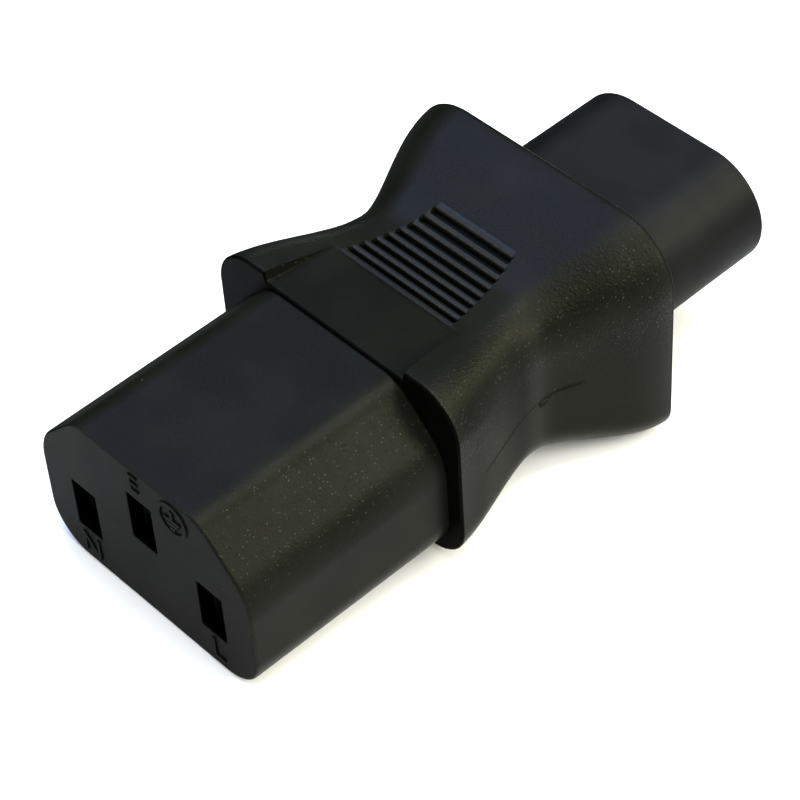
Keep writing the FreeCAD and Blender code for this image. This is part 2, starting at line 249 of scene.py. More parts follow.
class Recipe:
    """Node graph of one finish, laid out on Object coordinates."""

    LEFT_LEAN: Pair = (-0.42, -0.05)
    LEFT_UPRIGHT: Pair = (-0.98, -0.86)
    RIGHT_TURN: Pair = (0.15, 0.6)

    def __init__(self, name: str) -> None:
        """Starts a material with one Principled shader.

        Args:
            name: Name of the material.
        """
        self.material = bpy.data.materials.new(name)
        self.material.use_nodes = True
        self.tree = self.material.node_tree
        self.shader = self.tree.nodes["Principled BSDF"]
        self.coordinates = self.tree.nodes.new("ShaderNodeTexCoord")
        self.place = self.coordinates.outputs["Object"]
        self.normal = None

    def set(self, **inputs: Union[float, Colour, Term]) -> None:
        """Sets or links inputs of the shader.

        Args:
            inputs: Values by the input's name in small letters with underscores.
        """
        by_name = {socket.name.lower().replace(" ", "_"): socket for socket in self.shader.inputs}
        for label, value in inputs.items():
            if isinstance(value, tuple):
                value = (*value, 1.0)
            feed(by_name[label], value)

    def axes(self) -> tuple[Term, Term, Term]:
        """Reads the place of the shaded point.

        Returns:
            Its x, y and z in mm.
        """
        node = self.tree.nodes.new("ShaderNodeSeparateXYZ")
        self.tree.links.new(self.place, node.inputs[0])
        return tuple(Term(self.tree, out) * (1 / MM) for out in node.outputs)

    def facing(self) -> tuple[Term, Term, Term]:
        """Reads the direction of the surface in the part's frame.

        Returns:
            Its x, y and z.
        """
        node = self.tree.nodes.new("ShaderNodeSeparateXYZ")
        self.tree.links.new(self.coordinates.outputs["Normal"], node.inputs[0])
        return tuple(Term(self.tree, out) for out in node.outputs)

    def leaning(self) -> tuple[Term, Term]:
        """Masks faces by the way they lean.

        Returns:
            The faces that lean to the left without standing upright, and those that turn to the right.
        """
        facing_x = self.facing()[0]
        left = facing_x.fall(*self.LEFT_LEAN) * facing_x.rise(*self.LEFT_UPRIGHT)
        return left, facing_x.rise(*self.RIGHT_TURN)

    def stretched(self, stretch: Triple) -> bpy.types.NodeSocket:
        """Gives coordinates in mm, scaled on each axis.

        Args:
            stretch: Factor on X, Y and Z.

        Returns:
            The socket of the scaled coordinates.
        """
        node = self.tree.nodes.new("ShaderNodeMapping")
        node.inputs["Scale"].default_value = tuple(share / MM for share in stretch)
        self.tree.links.new(self.place, node.inputs["Vector"])
        return node.outputs[0]

    def noise(self, per_mm: float, detail: float = 2.0, stretch: Triple = (1, 1, 1)) -> Term:
        """Adds soft noise.

        Args:
            per_mm: Waves in a millimetre.
            detail: Octaves of finer noise.
            stretch: Factor on each axis, small along a drawn-out pattern.

        Returns:
            The noise, around 0.5.
        """
        node = self.tree.nodes.new("ShaderNodeTexNoise")
        node.inputs["Scale"].default_value = per_mm
        node.inputs["Detail"].default_value = detail
        self.tree.links.new(self.stretched(stretch), node.inputs["Vector"])
        return Term(self.tree, node.outputs[0])

    def cells(self, per_mm: float, kind: Cells) -> Term:
        """Adds a cell pattern.

        Args:
            per_mm: Cells in a millimetre.
            kind: Kind of the pattern.

        Returns:
            The distance from the nearest cell's centre.
        """
        node = self.tree.nodes.new("ShaderNodeTexVoronoi")
        node.feature = kind.value
        node.inputs["Scale"].default_value = per_mm
        self.tree.links.new(self.stretched((1, 1, 1)), node.inputs["Vector"])
        return Term(self.tree, node.outputs["Distance"])

    def tint(self, share: Term, first: Union[Colour, Term], second: Colour) -> Term:
        """Mixes two colours.

        Args:
            share: Share of the second colour.
            first: Colour at share 0.
            second: Colour at share 1.

        Returns:
            The mixed colour.
        """
        node = self.tree.nodes.new("ShaderNodeMix")
        node.data_type = "RGBA"
        feed(node.inputs[0], share)
        feed(node.inputs[6], first if isinstance(first, Term) else (*first, 1.0))
        node.inputs[7].default_value = (*second, 1.0)
        return Term(self.tree, node.outputs[2])

    def bump(self, height: Term, depth: float, strength: float = 1.0) -> None:
        """Adds a bump on top of those already there.

        Args:
            height: Height from 0 to 1.
            depth: Height in mm that 1 stands for.
            strength: Share of the bump that shows.
        """
        node = self.tree.nodes.new("ShaderNodeBump")
        node.inputs["Distance"].default_value = depth * MM
        node.inputs["Strength"].default_value = strength
        feed(node.inputs["Height"], height)
        if self.normal is not None:
            self.tree.links.new(self.normal, node.inputs["Normal"])
        self.normal = node.outputs[0]
        self.tree.links.new(self.normal, self.shader.inputs["Normal"])


@dataclass(frozen=True)
class Zones:
    """Places on the outer moulding and masks of its faces that differ in grain, colour or gloss."""

    way: Term
    z: Term
    left: Term
    right: Term
    side: Term
    rest: Term
    panel: Term
    face: Term
    flange: Term
    flat: Term
    slots: Term
    rim: Term
    hollow: Term
    crease: Term
    ribs: Term
    valley: Term


@dataclass(frozen=True)
class GrainedPvc:
    """Soft black moulding with a fine eroded grain and smooth working faces.

    A pair holds the two ends of a soft change: places and ways behind the front flange in mm, parts
    of a face's direction, or values of a pattern.
    """

    colour: Colour = (0.0040, 0.0043, 0.0032)
    worn: Colour = (0.0058, 0.0062, 0.0047)
    clouds_per_mm: float = 0.16
    cloud_range: Pair = (0.35, 0.7)
    # painted shade: near black mixed into the colour in the slots, on the front flange's face and in the
    # rib valleys, where shade falls
    pit: Colour = (0.0003, 0.0003, 0.0003)
    pit_share: float = 0.8
    dust: Colour = (0.10, 0.104, 0.11)
    specks_per_mm: float = 0.62
    speck_range: Pair = (0.018, 0.036)
    speck_patches_per_mm: float = 0.37
    speck_patch_range: Pair = (0.58, 0.62)
    # painted highlight: light specks mixed into the colour on the upper faces that turn to the right
    glint: Colour = (0.055, 0.056, 0.047)
    glint_share: float = 0.7
    glints_per_mm: float = 3.3
    glint_range: Pair = (0.06, 0.28)
    glint_patches_per_mm: float = 1.9
    glint_patch_range: Pair = (0.46, 0.60)
    glint_z: Pair = (11.6, 13.6)
    grain_per_mm: float = 4.8
    grain_depth: float = 0.034
    grain_z: Pair = (9.0, 13.5)
    low_grain: float = 0.25
    nose_grain: float = 0.50
    panel_grain_lost: float = 0.9
    rest_grain_lost: float = 0.4
    pebble_height: float = 0.5
    wrinkle_height: float = 1.1
    wrinkle_scale: float = 1.3
    pimples_per_mm: float = 2.6
    pimple_range: Pair = (0.05, 0.30)
    pimple_height: float = 0.25
    pimple_right: float = 0.4
    fine_per_mm: float = 14.0
    fine_depth: float = 0.003
    grip_way: Pair = (-0.3, 0.1)
    side_facing: Pair = (0.75, 0.98)
    rest_x: Pair = (6.7, 7.4)
    rest_front: Pair = (-0.2, 0.0)
    rest_rear: Pair = (14.8, 15.2)
    rest_z: Pair = (16.0, 16.6)
    panel_rear: Pair = (6.1, 6.3)
    face_skin: Pair = (0.008, 0.05)
    flange_middle: float = 0.05
    flange_skin: Pair = (0.10, 0.20)
    slots_x: Pair = (8.5, 8.7)
    slots_foot: Pair = (5.0, 5.3)
    slots_top: Pair = (14.6, 14.9)
    slots_rear: Pair = (-0.8, -0.4)
    rim_way: Pair = (21.55, 21.8)
    hollow_side: Pair = (0.5, 0.8)
    hollow_rear: Pair = (0.04, 0.28)
    crease_at: Pair = (13.2, 9.5)
    crease_length: Pair = (0.6, 2.2)
    crease_height: Pair = (0.05, 0.36)
    rib_end: float = 0.1
    valley_half: Pair = (0.12, 0.32)
    # painted warm light: reflections on the faces that turn to the right are tinted yellow
    sheen: Colour = (0.98, 1.0, 0.68)
    gloss: float = 0.066
    nose_gloss: float = 0.054
    face_gloss: float = 0.0103
    flange_gloss: float = 0.0073
    side_gloss_lost: float = 0.36
    rib_gloss_gain: float = 1.5
    gloss_lost: tuple[tuple[str, float], ...] = (
        ("slots", 0.95), ("panel", 0.6), ("left", 0.92), ("rim", 0.8),
        ("hollow", 0.7), ("crease", 0.6), ("valley", 0.9),
    )
    roughness: float = 0.30
    smudges_per_mm: float = 0.55
    smudge_rough: float = 0.10
    grain_polish: float = 0.04
    left_rough: float = 0.45

    def zones(self, recipe: Recipe, flange_y: float, face_y: float, form: "RibForm") -> Zones:
        """Sets out the masks.

        Args:
            recipe: Graph that holds them.
            flange_y: Station of the front flange, where the label panel begins.
            face_y: Station of the socket face.
            form: Sizes of the finger rest.

        Returns:
            The masks.
        """
        x, y, z = recipe.axes()
        way = y - flange_y
        facing_x, facing_y, _ = recipe.facing()
        left, right = recipe.leaning()
        rest = abs(x).fall(*self.rest_x) * way.rise(*self.rest_front) * way.fall(*self.rest_rear)
        rest = rest * z.rise(*self.rest_z)
        panel = rest * way.fall(*self.panel_rear)
        face = (y - face_y).fall(*self.face_skin)
        flange = abs(way - self.flange_middle).fall(*self.flange_skin)
        slots = abs(x).fall(*self.slots_x) * z.rise(*self.slots_foot) * z.fall(*self.slots_top)
        crease = abs(z - self.crease_at[1]).fall(*self.crease_height)
        behind = way - form.groove_first
        reach, pitch = form.groove_front_half, form.groove_pitch
        ribs = (abs(x) + behind * form.taper).fall(reach - self.rib_end, reach)
        ribs = ribs * rest * (1.0 - panel)
        return Zones(
            way=way,
            z=z,
            left=left,
            right=right,
            side=facing_x.rise(*self.side_facing),
            rest=rest,
            panel=panel,
            face=face,
            flange=flange,
            flat=face.math("MAXIMUM", flange),
            slots=slots * way.fall(*self.slots_rear) * (1.0 - face),
            rim=way.rise(*self.rim_way),
            hollow=facing_x.rise(*self.hollow_side) * facing_y.rise(*self.hollow_rear),
            crease=crease * abs(way - self.crease_at[0]).fall(*self.crease_length) * right,
            ribs=ribs,
            valley=abs(behind.math("WRAP", pitch / 2, -pitch / 2)).fall(*self.valley_half) * ribs,
        )

    def grain(self, recipe: Recipe, zones: Zones) -> Term:
        """Adds the eroded grain as bumps.

        Args:
            recipe: Graph that takes them.
            zones: Masks of the moulding.

        Returns:
            The share of the grain at each point.
        """
        share = zones.z.remap(*self.grain_z, self.low_grain, 1.0) * (1.0 - zones.flat)
        share = share * zones.panel.dim(self.panel_grain_lost) * zones.rest.dim(self.rest_grain_lost)
        share = share * zones.way.remap(*self.grip_way, self.nose_grain, 1.0)
        pebble = recipe.cells(self.grain_per_mm, Cells.SOFT)
        wrinkle = recipe.noise(self.grain_per_mm * self.wrinkle_scale)
        pimple = recipe.cells(self.pimples_per_mm, Cells.SHARP).fall(*self.pimple_range)
        pimple = pimple * (zones.right * self.pimple_right + self.pimple_height)
        height = pebble * self.pebble_height + wrinkle * self.wrinkle_height + pimple
        recipe.bump(height * share, self.grain_depth)
        recipe.bump(recipe.noise(self.fine_per_mm), self.fine_depth)
        return share

    def base(self, recipe: Recipe, zones: Zones) -> Term:
        """Gives the colour: cloudy black with dust, painted glints on the upper right-facing faces, and
        painted shade in the slots, on the front flange's face and in the rib valleys.

        Args:
            recipe: Graph that holds it.
            zones: Masks of the moulding.

        Returns:
            The colour.
        """
        cloud = recipe.noise(self.clouds_per_mm, detail=3.0)
        base = recipe.tint(cloud.rise(*self.cloud_range), self.colour, self.worn)
        # painted glints: light specks in the colour on right-facing faces high on the part
        glint = recipe.cells(self.glints_per_mm, Cells.SHARP).fall(*self.glint_range) * zones.right
        glint = glint * zones.z.remap(*self.glint_z, 0.0, self.glint_share)
        patch = recipe.noise(self.glint_patches_per_mm, detail=1.0).rise(*self.glint_patch_range)
        base = recipe.tint(glint * patch, base, self.glint)
        speck = recipe.cells(self.specks_per_mm, Cells.SHARP).fall(*self.speck_range)
        patch = recipe.noise(self.speck_patches_per_mm, detail=0.0).rise(*self.speck_patch_range)
        base = recipe.tint(speck * patch * (1.0 - zones.rest), base, self.dust)
        # painted shade: the slots, the front flange's face and the rib valleys are mixed towards near
        # black
        shade_mask = zones.slots
        for mask in (zones.flange, zones.valley):
            shade_mask = shade_mask.math("MAXIMUM", mask * self.pit_share)
        return recipe.tint(shade_mask, base, self.pit)

    def gloss_level(self, zones: Zones) -> Term:
        """Gives the gloss, which the hollow and hidden faces lose.

        Args:
            zones: Masks of the moulding.

        Returns:
            The specular level.
        """
        gloss = zones.way.remap(*self.grip_way, self.nose_gloss, self.gloss)
        gloss = gloss * zones.side.dim(self.side_gloss_lost) * (1.0 - zones.flat)
        gloss = gloss + zones.face * self.face_gloss + zones.flange * self.flange_gloss
        for label, share in self.gloss_lost:
            gloss = gloss * getattr(zones, label).dim(share)
        return gloss * (zones.ribs * self.rib_gloss_gain + 1.0)

    def material(self, flange_y: float, face_y: float, form: "RibForm") -> bpy.types.Material:
        """Builds the material.

        Args:
            flange_y: Station of the front flange, where the label panel begins.
            face_y: Station of the socket face.
            form: Sizes of the finger rest.

        Returns:
            The finished material.
        """
        recipe = Recipe("grained_pvc")
        zones = self.zones(recipe, flange_y, face_y, form)
        share = self.grain(recipe, zones)
        rough = recipe.noise(self.smudges_per_mm, detail=4.0) * self.smudge_rough
        recipe.set(
            base_color=self.base(recipe, zones),
            roughness=rough - share * self.grain_polish + zones.left * self.left_rough + self.roughness,
            specular_ior_level=self.gloss_level(zones),
            # painted warm light: yellow tint on the reflections of right-facing faces
            specular_tint=recipe.tint(zones.right, WHITE, self.sheen),
        )
        return recipe.material


@dataclass(frozen=True)
class SatinPlastic:
    """Rigid black moulding with a satin face and faint draw marks along the pull."""

    name: str
    colour: Colour
    worn: Colour
    roughness: float
    # painted warm light: reflections on the faces that turn to the right are tinted yellow
    sheen: Colour = (0.98, 1.0, 0.78)
    gloss: float = 0.088
    side_gloss: float = 0.037
    side_facing: Pair = (0.60, 0.95)
    left_gloss_lost: float = 0.92
    left_rough: float = 0.35
    marks: Triple = (1.0, 0.05, 1.0)
    marks_per_mm: float = 3.2
    mark_depth: float = 0.006
    mark_rough: float = 0.05
    fine_per_mm: float = 9.0
    fine_depth: float = 0.004
    clouds_per_mm: float = 0.22
    cloud_range: Pair = (0.3, 0.72)
    smudges_per_mm: float = 0.7
    smudge_rough: float = 0.12
    smoothest: float = 0.08

    def material(self) -> bpy.types.Material:
        """Builds the material.

        Returns:
            The finished material.
        """
        recipe = Recipe(self.name)
        left, right = recipe.leaning()
        side = recipe.facing()[0].rise(*self.side_facing)
        draw = recipe.noise(self.marks_per_mm, detail=3.0, stretch=self.marks)
        cloud = recipe.noise(self.clouds_per_mm, detail=3.0)
        rough = recipe.noise(self.smudges_per_mm, detail=4.0) * self.smudge_rough + draw * self.mark_rough
        recipe.bump(draw, self.mark_depth, strength=0.6)
        recipe.bump(recipe.noise(self.fine_per_mm), self.fine_depth, strength=0.7)
        gloss = self.gloss - side * (self.gloss - self.side_gloss)
        recipe.set(
            base_color=recipe.tint(cloud.rise(*self.cloud_range), self.colour, self.worn),
            roughness=rough + left * self.left_rough + (self.roughness - self.smoothest),
            specular_ior_level=gloss * left.dim(self.left_gloss_lost),
            # painted warm light: yellow tint on the reflections of right-facing faces
            specular_tint=recipe.tint(right, WHITE, self.sheen),
        )
        return recipe.material


@dataclass(frozen=True)
class DrawnMetal:
    """Metal with fine marks along or around it and a thin uneven tarnish."""

    name: str
    colour: Colour
    tarnish: Colour
    roughness: float
    marks: Triple = (1.0, 0.06, 1.0)
    marks_per_mm: float = 9.0
    mark_depth: float = 0.004
    mark_rough: float = 0.14
    clouds_per_mm: float = 0.45
    cloud_range: Pair = (0.42, 0.75)
    cloud_rough: float = 0.1
    smoothest: float = 0.1

    def material(self) -> bpy.types.Material:
        """Builds the material.

        Returns:
            The finished material.
        """
        recipe = Recipe(self.name)
        lines = recipe.noise(self.marks_per_mm, stretch=self.marks)
        cloud = recipe.noise(self.clouds_per_mm, detail=4.0)
        rough = lines * self.mark_rough + cloud * self.cloud_rough
        recipe.bump(lines, self.mark_depth, strength=0.8)
        recipe.set(
            base_color=recipe.tint(cloud.rise(*self.cloud_range), self.colour, self.tarnish),
            metallic=1.0,
            roughness=rough + (self.roughness - self.smoothest),
        )
        return recipe.material


def rounded_loop(corners: Sequence[Triple], steps: int) -> Loop:
    """Draws a closed outline with round corners.

    Args:
        corners: The x, z and radius of each corner, anticlockwise as seen from the socket face.
        steps: Straight steps in each corner's arc.

    Returns:
        The outline's points as x and z.
    """
    loop: Loop = []
    for i, (x, z, radius) in enumerate(corners):
        here = Vector((x, z))
        back = (Vector(corners[i - 1][:2]) - here).normalized()
        ahead = (Vector(corners[(i + 1) % len(corners)][:2]) - here).normalized()
        half = back.angle(ahead) / 2
        centre = here + (back + ahead).normalized() * (radius / math.sin(half))
        first = here + back * (radius / math.tan(half)) - centre
        for step in range(steps + 1):
            turn = Matrix.Rotation((math.pi - 2 * half) * step / steps, 2)
            loop.append(tuple(centre + turn @ first))
    return loop


def arc_loop(centre: Pair, radius: float, start: float, end: float, steps: int) -> Loop:
    """Draws an arc.

    Args:
        centre: The x and z of its centre.
        radius: Radius in mm.
        start: Angle of its first point in degrees, from +X towards +Z.
        end: Angle of its last point in degrees.
        steps: Straight steps in it.

    Returns:
        The arc's points as x and z.
    """
    points: Loop = []
    for step in range(steps + 1):
        angle = math.radians(start + (end - start) * step / steps)
        points.append((centre[0] + radius * math.cos(angle), centre[1] + radius * math.sin(angle)))
    return points


def quarter_round(radius: float, steps: int) -> Loop:
    """Draws a quarter round as pairs from (0, radius) to (radius, 0).

    Args:
        radius: Radius in mm.
        steps: Straight steps in it.

    Returns:
        The pairs.
    """
    turns = [math.radians(90 * step / steps) for step in range(steps + 1)]
    return [(radius * (1 - math.cos(turn)), radius * (1 - math.sin(turn))) for turn in turns]


def wave(angle: float, shape: tuple[int, float, float]) -> float:
    """Gives a wave around a ring.

    Args:
        angle: Place on the ring.
        shape: Number of waves, their height and their lead.

    Returns:
        The wave's height there.
    """
    count, height, lead = shape
    return height * math.sin(count * angle + lead)


def add_object(name: str, data: bpy.types.ID) -> bpy.types.Object:
    """Adds an object to the scene, at the origin.

    Args:
        name: Name of the object.
        data: Mesh, curve, light or camera that it shows.

    Returns:
        The new object.
    """
    piece = bpy.data.objects.new(name, data)
    bpy.context.scene.collection.objects.link(piece)
    return piece


def add_mesh(
    name: str, points: Iterable[Sequence[float]], faces: Iterable[Sequence[int]]
) -> bpy.types.Object:
    """Adds an object from points in mm and faces, with its normals outwards.

    Args:
        name: Name of the object.
        points: Points in mm.
        faces: Corner numbers of each face.

    Returns:
        The new object, at the origin.
    """
    mesh = bpy.data.meshes.new(name)
    places = [[value * MM for value in point] for point in points]
    mesh.from_pydata(places, [], [list(face) for face in faces])
    face_outwards(mesh)
    return add_object(name, mesh)


def face_outwards(mesh: bpy.types.Mesh) -> None:
    """Merges doubled points of a closed mesh and turns its faces outwards.

    Args:
        mesh: Mesh that is changed.
    """
    shell = bmesh.new()
    shell.from_mesh(mesh)
    bmesh.ops.remove_doubles(shell, verts=shell.verts, dist=MERGE * MM)
    bmesh.ops.dissolve_degenerate(shell, edges=shell.edges, dist=MERGE * MM)
    bmesh.ops.recalc_face_normals(shell, faces=shell.faces)
    shell.to_mesh(mesh)
    shell.free()


def ring_faces(rows: int, columns: int) -> list[list[int]]:
    """Lists the faces of a closed tube of point rows, with an end face at both ends.

    Args:
        rows: Number of point rows.
        columns: Points in each row.

    Returns:
        Corner numbers of each face.
    """
    faces = [list(range(columns)), list(range((rows - 1) * columns, rows * columns))]
    for row in range(rows - 1):
        for column in range(columns):
            on = (column + 1) % columns
            low, high = row * columns, (row + 1) * columns
            faces.append([low + column, low + on, high + on, high + column])
    return faces


def loft_solid(name: str, rings: Sequence[tuple[float, Loop]]) -> bpy.types.Object:
    """Skins a row of outlines that stand square to Y.

    Args:
        name: Name of the object.
        rings: The y of each outline and its points.

    Returns:
        The closed solid.
    """
    points = [(x, y, z) for y, loop in rings for x, z in loop]
    return add_mesh(name, points, ring_faces(len(rings), len(rings[0][1])))


def bar_solid(name: str, low: Sequence[float], high: Sequence[float]) -> bpy.types.Object:
    """Adds a straight-sided bar between two corners.

    Args:
        name: Name of the object.
        low: Lowest corner in mm.
        high: Highest corner in mm.

    Returns:
        The closed solid.
    """
    loop = [(low[0], low[2]), (high[0], low[2]), (high[0], high[2]), (low[0], high[2])]
    return loft_solid(name, [(low[1], loop), (high[1], loop)])


def rod_solid(
    name: str, start: Vector, end: Vector, radius: float, steps: int = 32
) -> bpy.types.Object:
    """Adds a round rod between two points.

    Args:
        name: Name of the object.
        start: Centre of one end in mm.
        end: Centre of the other end in mm.
        radius: Radius in mm.
        steps: Sides of the rod.

    Returns:
        The closed solid.
    """
    turn = (end - start).to_track_quat("Z", "Y").to_matrix()
    points = []
    for centre in (start, end):
        for step in range(steps):
            angle = 2 * math.pi * step / steps
            points.append(centre + turn @ Vector((math.cos(angle), math.sin(angle), 0)) * radius)
    return add_mesh(name, points, ring_faces(2, steps))


def shown_mesh(piece: bpy.types.Object) -> bpy.types.Mesh:
    """Gives a plain mesh of what an object shows."""
    shown = piece.evaluated_get(bpy.context.evaluated_depsgraph_get())
    return bpy.data.meshes.new_from_object(shown)


def bake(piece: bpy.types.Object) -> None:
    """Makes what an object's modifiers show its plain mesh, and removes them.

    Args:
        piece: Object with modifiers.
    """
    mesh = shown_mesh(piece)
    piece.modifiers.clear()
    piece.data = mesh
    mesh.name = piece.name


def carve(piece: bpy.types.Object, tools: Sequence[bpy.types.Object], cut: Cut) -> None:
    """Joins tool solids to a piece or removes them from it, and deletes them.

    Args:
        piece: Solid that is changed.
        tools: Solids that change it.
        cut: Whether they are joined or removed.
    """
    rack = bpy.data.collections.new("tool_rack")
    bpy.context.scene.collection.children.link(rack)
    for tool in tools:
        rack.objects.link(tool)
    step = piece.modifiers.new("cut", "BOOLEAN")
    step.operand_type = "COLLECTION"
    step.collection = rack
    step.operation = cut.value
    step.solver = "EXACT"
    bake(piece)
    for tool in tools:
        bpy.data.objects.remove(tool)
    bpy.data.collections.remove(rack)


def smooth(piece: bpy.types.Object, angle: float) -> None:
    """Shades a piece smooth, with its edges above an angle kept sharp.

    Args:
        piece: Piece to shade.
        angle: Angle in degrees.
    """
    face_outwards(piece.data)
    piece.data.shade_smooth()
    piece.data.set_sharp_from_angle(angle=math.radians(angle))
    weigh = piece.modifiers.new("flat_faces", "WEIGHTED_NORMAL")
    weigh.keep_sharp = True
    weigh.weight = 100
    bake(piece)


def hand_over(
    piece: bpy.types.Object, material: bpy.types.Material, slot: str, *nodes: str
) -> bpy.types.Object:
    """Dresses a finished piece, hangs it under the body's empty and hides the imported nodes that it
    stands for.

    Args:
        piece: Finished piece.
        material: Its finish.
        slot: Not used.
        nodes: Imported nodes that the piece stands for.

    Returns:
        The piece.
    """
    piece.data.materials.clear()
    piece.data.materials.append(material)
    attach(piece, BODY)
    if nodes:
        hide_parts(*nodes)
    return piece


class SizedTree:
    """Geometry node tree with a named input for each size."""

    def __init__(self, name: str, sizes: dict[str, float]) -> None:
        """Starts an empty tree.

        Args:
            name: Name of the tree.
            sizes: Sizes in mm by the names of the inputs.
        """
        self.sizes = sizes
        self.labels: set[str] = set()
        self.tree = bpy.data.node_groups.new(name, "GeometryNodeTree")
        face = self.tree.interface
        face.new_socket("Geometry", in_out="INPUT", socket_type="NodeSocketGeometry")
        face.new_socket("Geometry", in_out="OUTPUT", socket_type="NodeSocketGeometry")
        for label in sizes:
            face.new_socket(label, in_out="INPUT", socket_type="NodeSocketFloat")
        self.entry = self.tree.nodes.new("NodeGroupInput")
        self.last = self.entry.outputs["Geometry"]

    def size(self, label: str) -> Term:
        """Gives a named input."""
        return Term(self.tree, self.entry.outputs[label])

    def mark(self, label: str) -> Term:
        """Gives a number that each point of the base mesh carries.

        Args:
            label: Name of the number.

        Returns:
            The number at each point.
        """
        self.labels.add(label)
        node = self.tree.nodes.new("GeometryNodeInputNamedAttribute")
        node.data_type = "FLOAT"
        node.inputs["Name"].default_value = label
        return Term(self.tree, node.outputs["Attribute"])

    def then(self, kind: str, geometry_in: str = "Geometry") -> bpy.types.GeometryNode:
        """Adds a node that works on the geometry so far.

        Args:
            kind: Type name of the node.
            geometry_in: Name of its input for the geometry.

        Returns:
            The node.
        """
        node = self.tree.nodes.new(kind)
        self.tree.links.new(self.last, node.inputs[geometry_in])
        self.last = node.outputs[0]
        return node

    def put(self, x: Term, y: Term, z: Value) -> None:
        """Moves each point to a place.

        Args:
            x: Place on X in mm.
            y: Place on Y in mm.
            z: Place on Z in mm.
        """
        place = self.tree.nodes.new("ShaderNodeCombineXYZ")
        for socket, value in zip(place.inputs, (x, y, z)):
            feed(socket, value * MM)
        node = self.then("GeometryNodeSetPosition")
        self.tree.links.new(place.outputs[0], node.inputs["Position"])

    def along(self, kind: str, run_out: Value = 1.0, waist_at: str = "waist_at") -> Term:
        """Gives a size of the grip that eases from front flange to waist to rear flange.

        Args:
            kind: End of the names of the three sizes.
            run_out: Share of the smooth step that is used behind the waist.
            waist_at: Name of the input with the waist's place.

        Returns:
            The size at each point's way behind the front flange.
        """
        way, waist_way = self.mark("way"), self.size(waist_at)
        front, waist, rear = (self.size(end + kind) for end in ("front_", "waist_", "rear_"))
        t = way / waist_way
        near = t.math("MINIMUM", 1.0)
        blended = kind in ("half", "rise", "drop")
        straight = self.size("flare_straight")
        ramp = straight * (t if blended else near) + (1.0 - straight) * near.ease()
        before = front + (waist - front) * ramp
        full_at = self.size("length") - self.size("edge")
        behind = (way - waist_way).math("DIVIDE", full_at - waist_way, clamp=True)
        behind = behind.math("POWER", self.size("swell"))
        if isinstance(run_out, Term):
            after = waist + (rear - waist) * (behind * run_out).ease() / run_out.ease()
        else:
            after = waist + (rear - waist) * behind.ease()
        if blended:
            return before.math("SMOOTH_MAX", after, self.size("waist_blend"))
        return before + after - waist

    def grow(self, base: bpy.types.Object, material: bpy.types.Material) -> bpy.types.Object:
        """Closes the tree, runs it on a base mesh and keeps the result as a plain mesh.

        Args:
            base: Object that carries the base mesh.
            material: Finish that the tree sets.

        Returns:
            The same object with the grown mesh.
        """
        self.then("GeometryNodeRealizeInstances")
        self.then("GeometryNodeSetMaterial").inputs["Material"].default_value = material
        leave = self.tree.nodes.new("NodeGroupOutput")
        self.tree.links.new(self.last, leave.inputs["Geometry"])
        step = base.modifiers.new("grow", "NODES")
        step.node_group = self.tree
        for item in self.tree.interface.items_tree:
            if item.in_out == "INPUT" and item.name in self.sizes:
                step[item.identifier] = float(self.sizes[item.name])
        bake(base)
        for label in self.labels & set(base.data.attributes.keys()):
            base.data.attributes.remove(base.data.attributes[label])
        face_outwards(base.data)
        return base


def marked_base(
    name: str, marks: dict[str, list[float]], edges: list, faces: list
) -> bpy.types.Object:
    """Adds a base mesh whose points only carry numbers for a tree.

    Args:
        name: Name of the object.
        marks: One number for each point, by label.
        edges: Point pairs of loose edges.
        faces: Corner numbers of each face.

    Returns:
        The base object.
    """
    base = add_mesh(name, [], [])
    base.data.from_pydata([(0.0, 0.0, 0.0)] * len(marks["way"]), edges, faces)
    for label, values in marks.items():
        base.data.attributes.new(label, "FLOAT", "POINT").data.foreach_set("value", values)
    return base


@dataclass(frozen=True)
class GripForm:
    """Sizes of the waisted grip; rise and drop are measured from the nose's centre line."""

    length: float = 22.0
    axis_z: float = 10.1
    waist_at: float = 11.1
    waist_under_at: float = 8.6
    front_half: float = 12.95
    waist_half: float = 10.05
    rear_half: float = 13.5
    front_rise: float = 8.65
    waist_rise: float = 7.2
    rear_rise: float = 10.25
    front_drop: float = 8.1
    waist_drop: float = 7.4
    rear_drop: float = 10.1
    front_soft: float = 4.0
    waist_soft: float = 4.0
    rear_soft: float = 5.3
    front_under: float = 3.6
    waist_under: float = 3.1
    rear_under: float = 2.8
    flare_straight: float = 0.4
    swell: float = 0.92
    run_out: float = 0.86
    waist_blend: float = 0.4
    edge: float = 0.25


@dataclass(frozen=True)
class RibForm:
    """Sizes of the grooved finger rest in the waist."""

    groove_count: float = 8
    groove_pitch: float = 1.02
    groove_first: float = 7.0
    groove_floor: float = 0.15
    groove_brim: float = 0.51
    groove_depth: float = 0.5
    groove_lead_in: float = 0.6
    groove_front_half: float = 5.8
    groove_rear_half: float = 4.2
    groove_end: float = 0.12

    @property
    def run(self) -> float:
        """Way from the first groove to the last."""
        return (self.groove_count - 1) * self.groove_pitch

    @property
    def taper(self) -> float:
        """Loss of a groove's half width for each mm behind the first one."""
        return (self.groove_front_half - self.groove_rear_half) / self.run


@dataclass(frozen=True)
class NoseForm:
    """Sizes of the C13 nose and its slots."""

    width: float = 23.2
    height: float = 15.2
    chamfer: float = 4.8
    shoulder_r: float = 5.2
    crest_r: float = 3.2
    foot_r: float = 3.7
    corner_steps: int = 14
    rim: float = 0.22
    rim_steps: int = 5
    skin: float = 1.7
    pocket_crest_r: float = 0.4
    slot_w: float = 2.6
    slot_h: float = 4.6
    slot_r: float = 0.12
    slot_steps: int = 3
    slot_lip: float = 0.12
    lip_bend: Pair = (0.4, 0.3)
    tail_w: float = 2.2


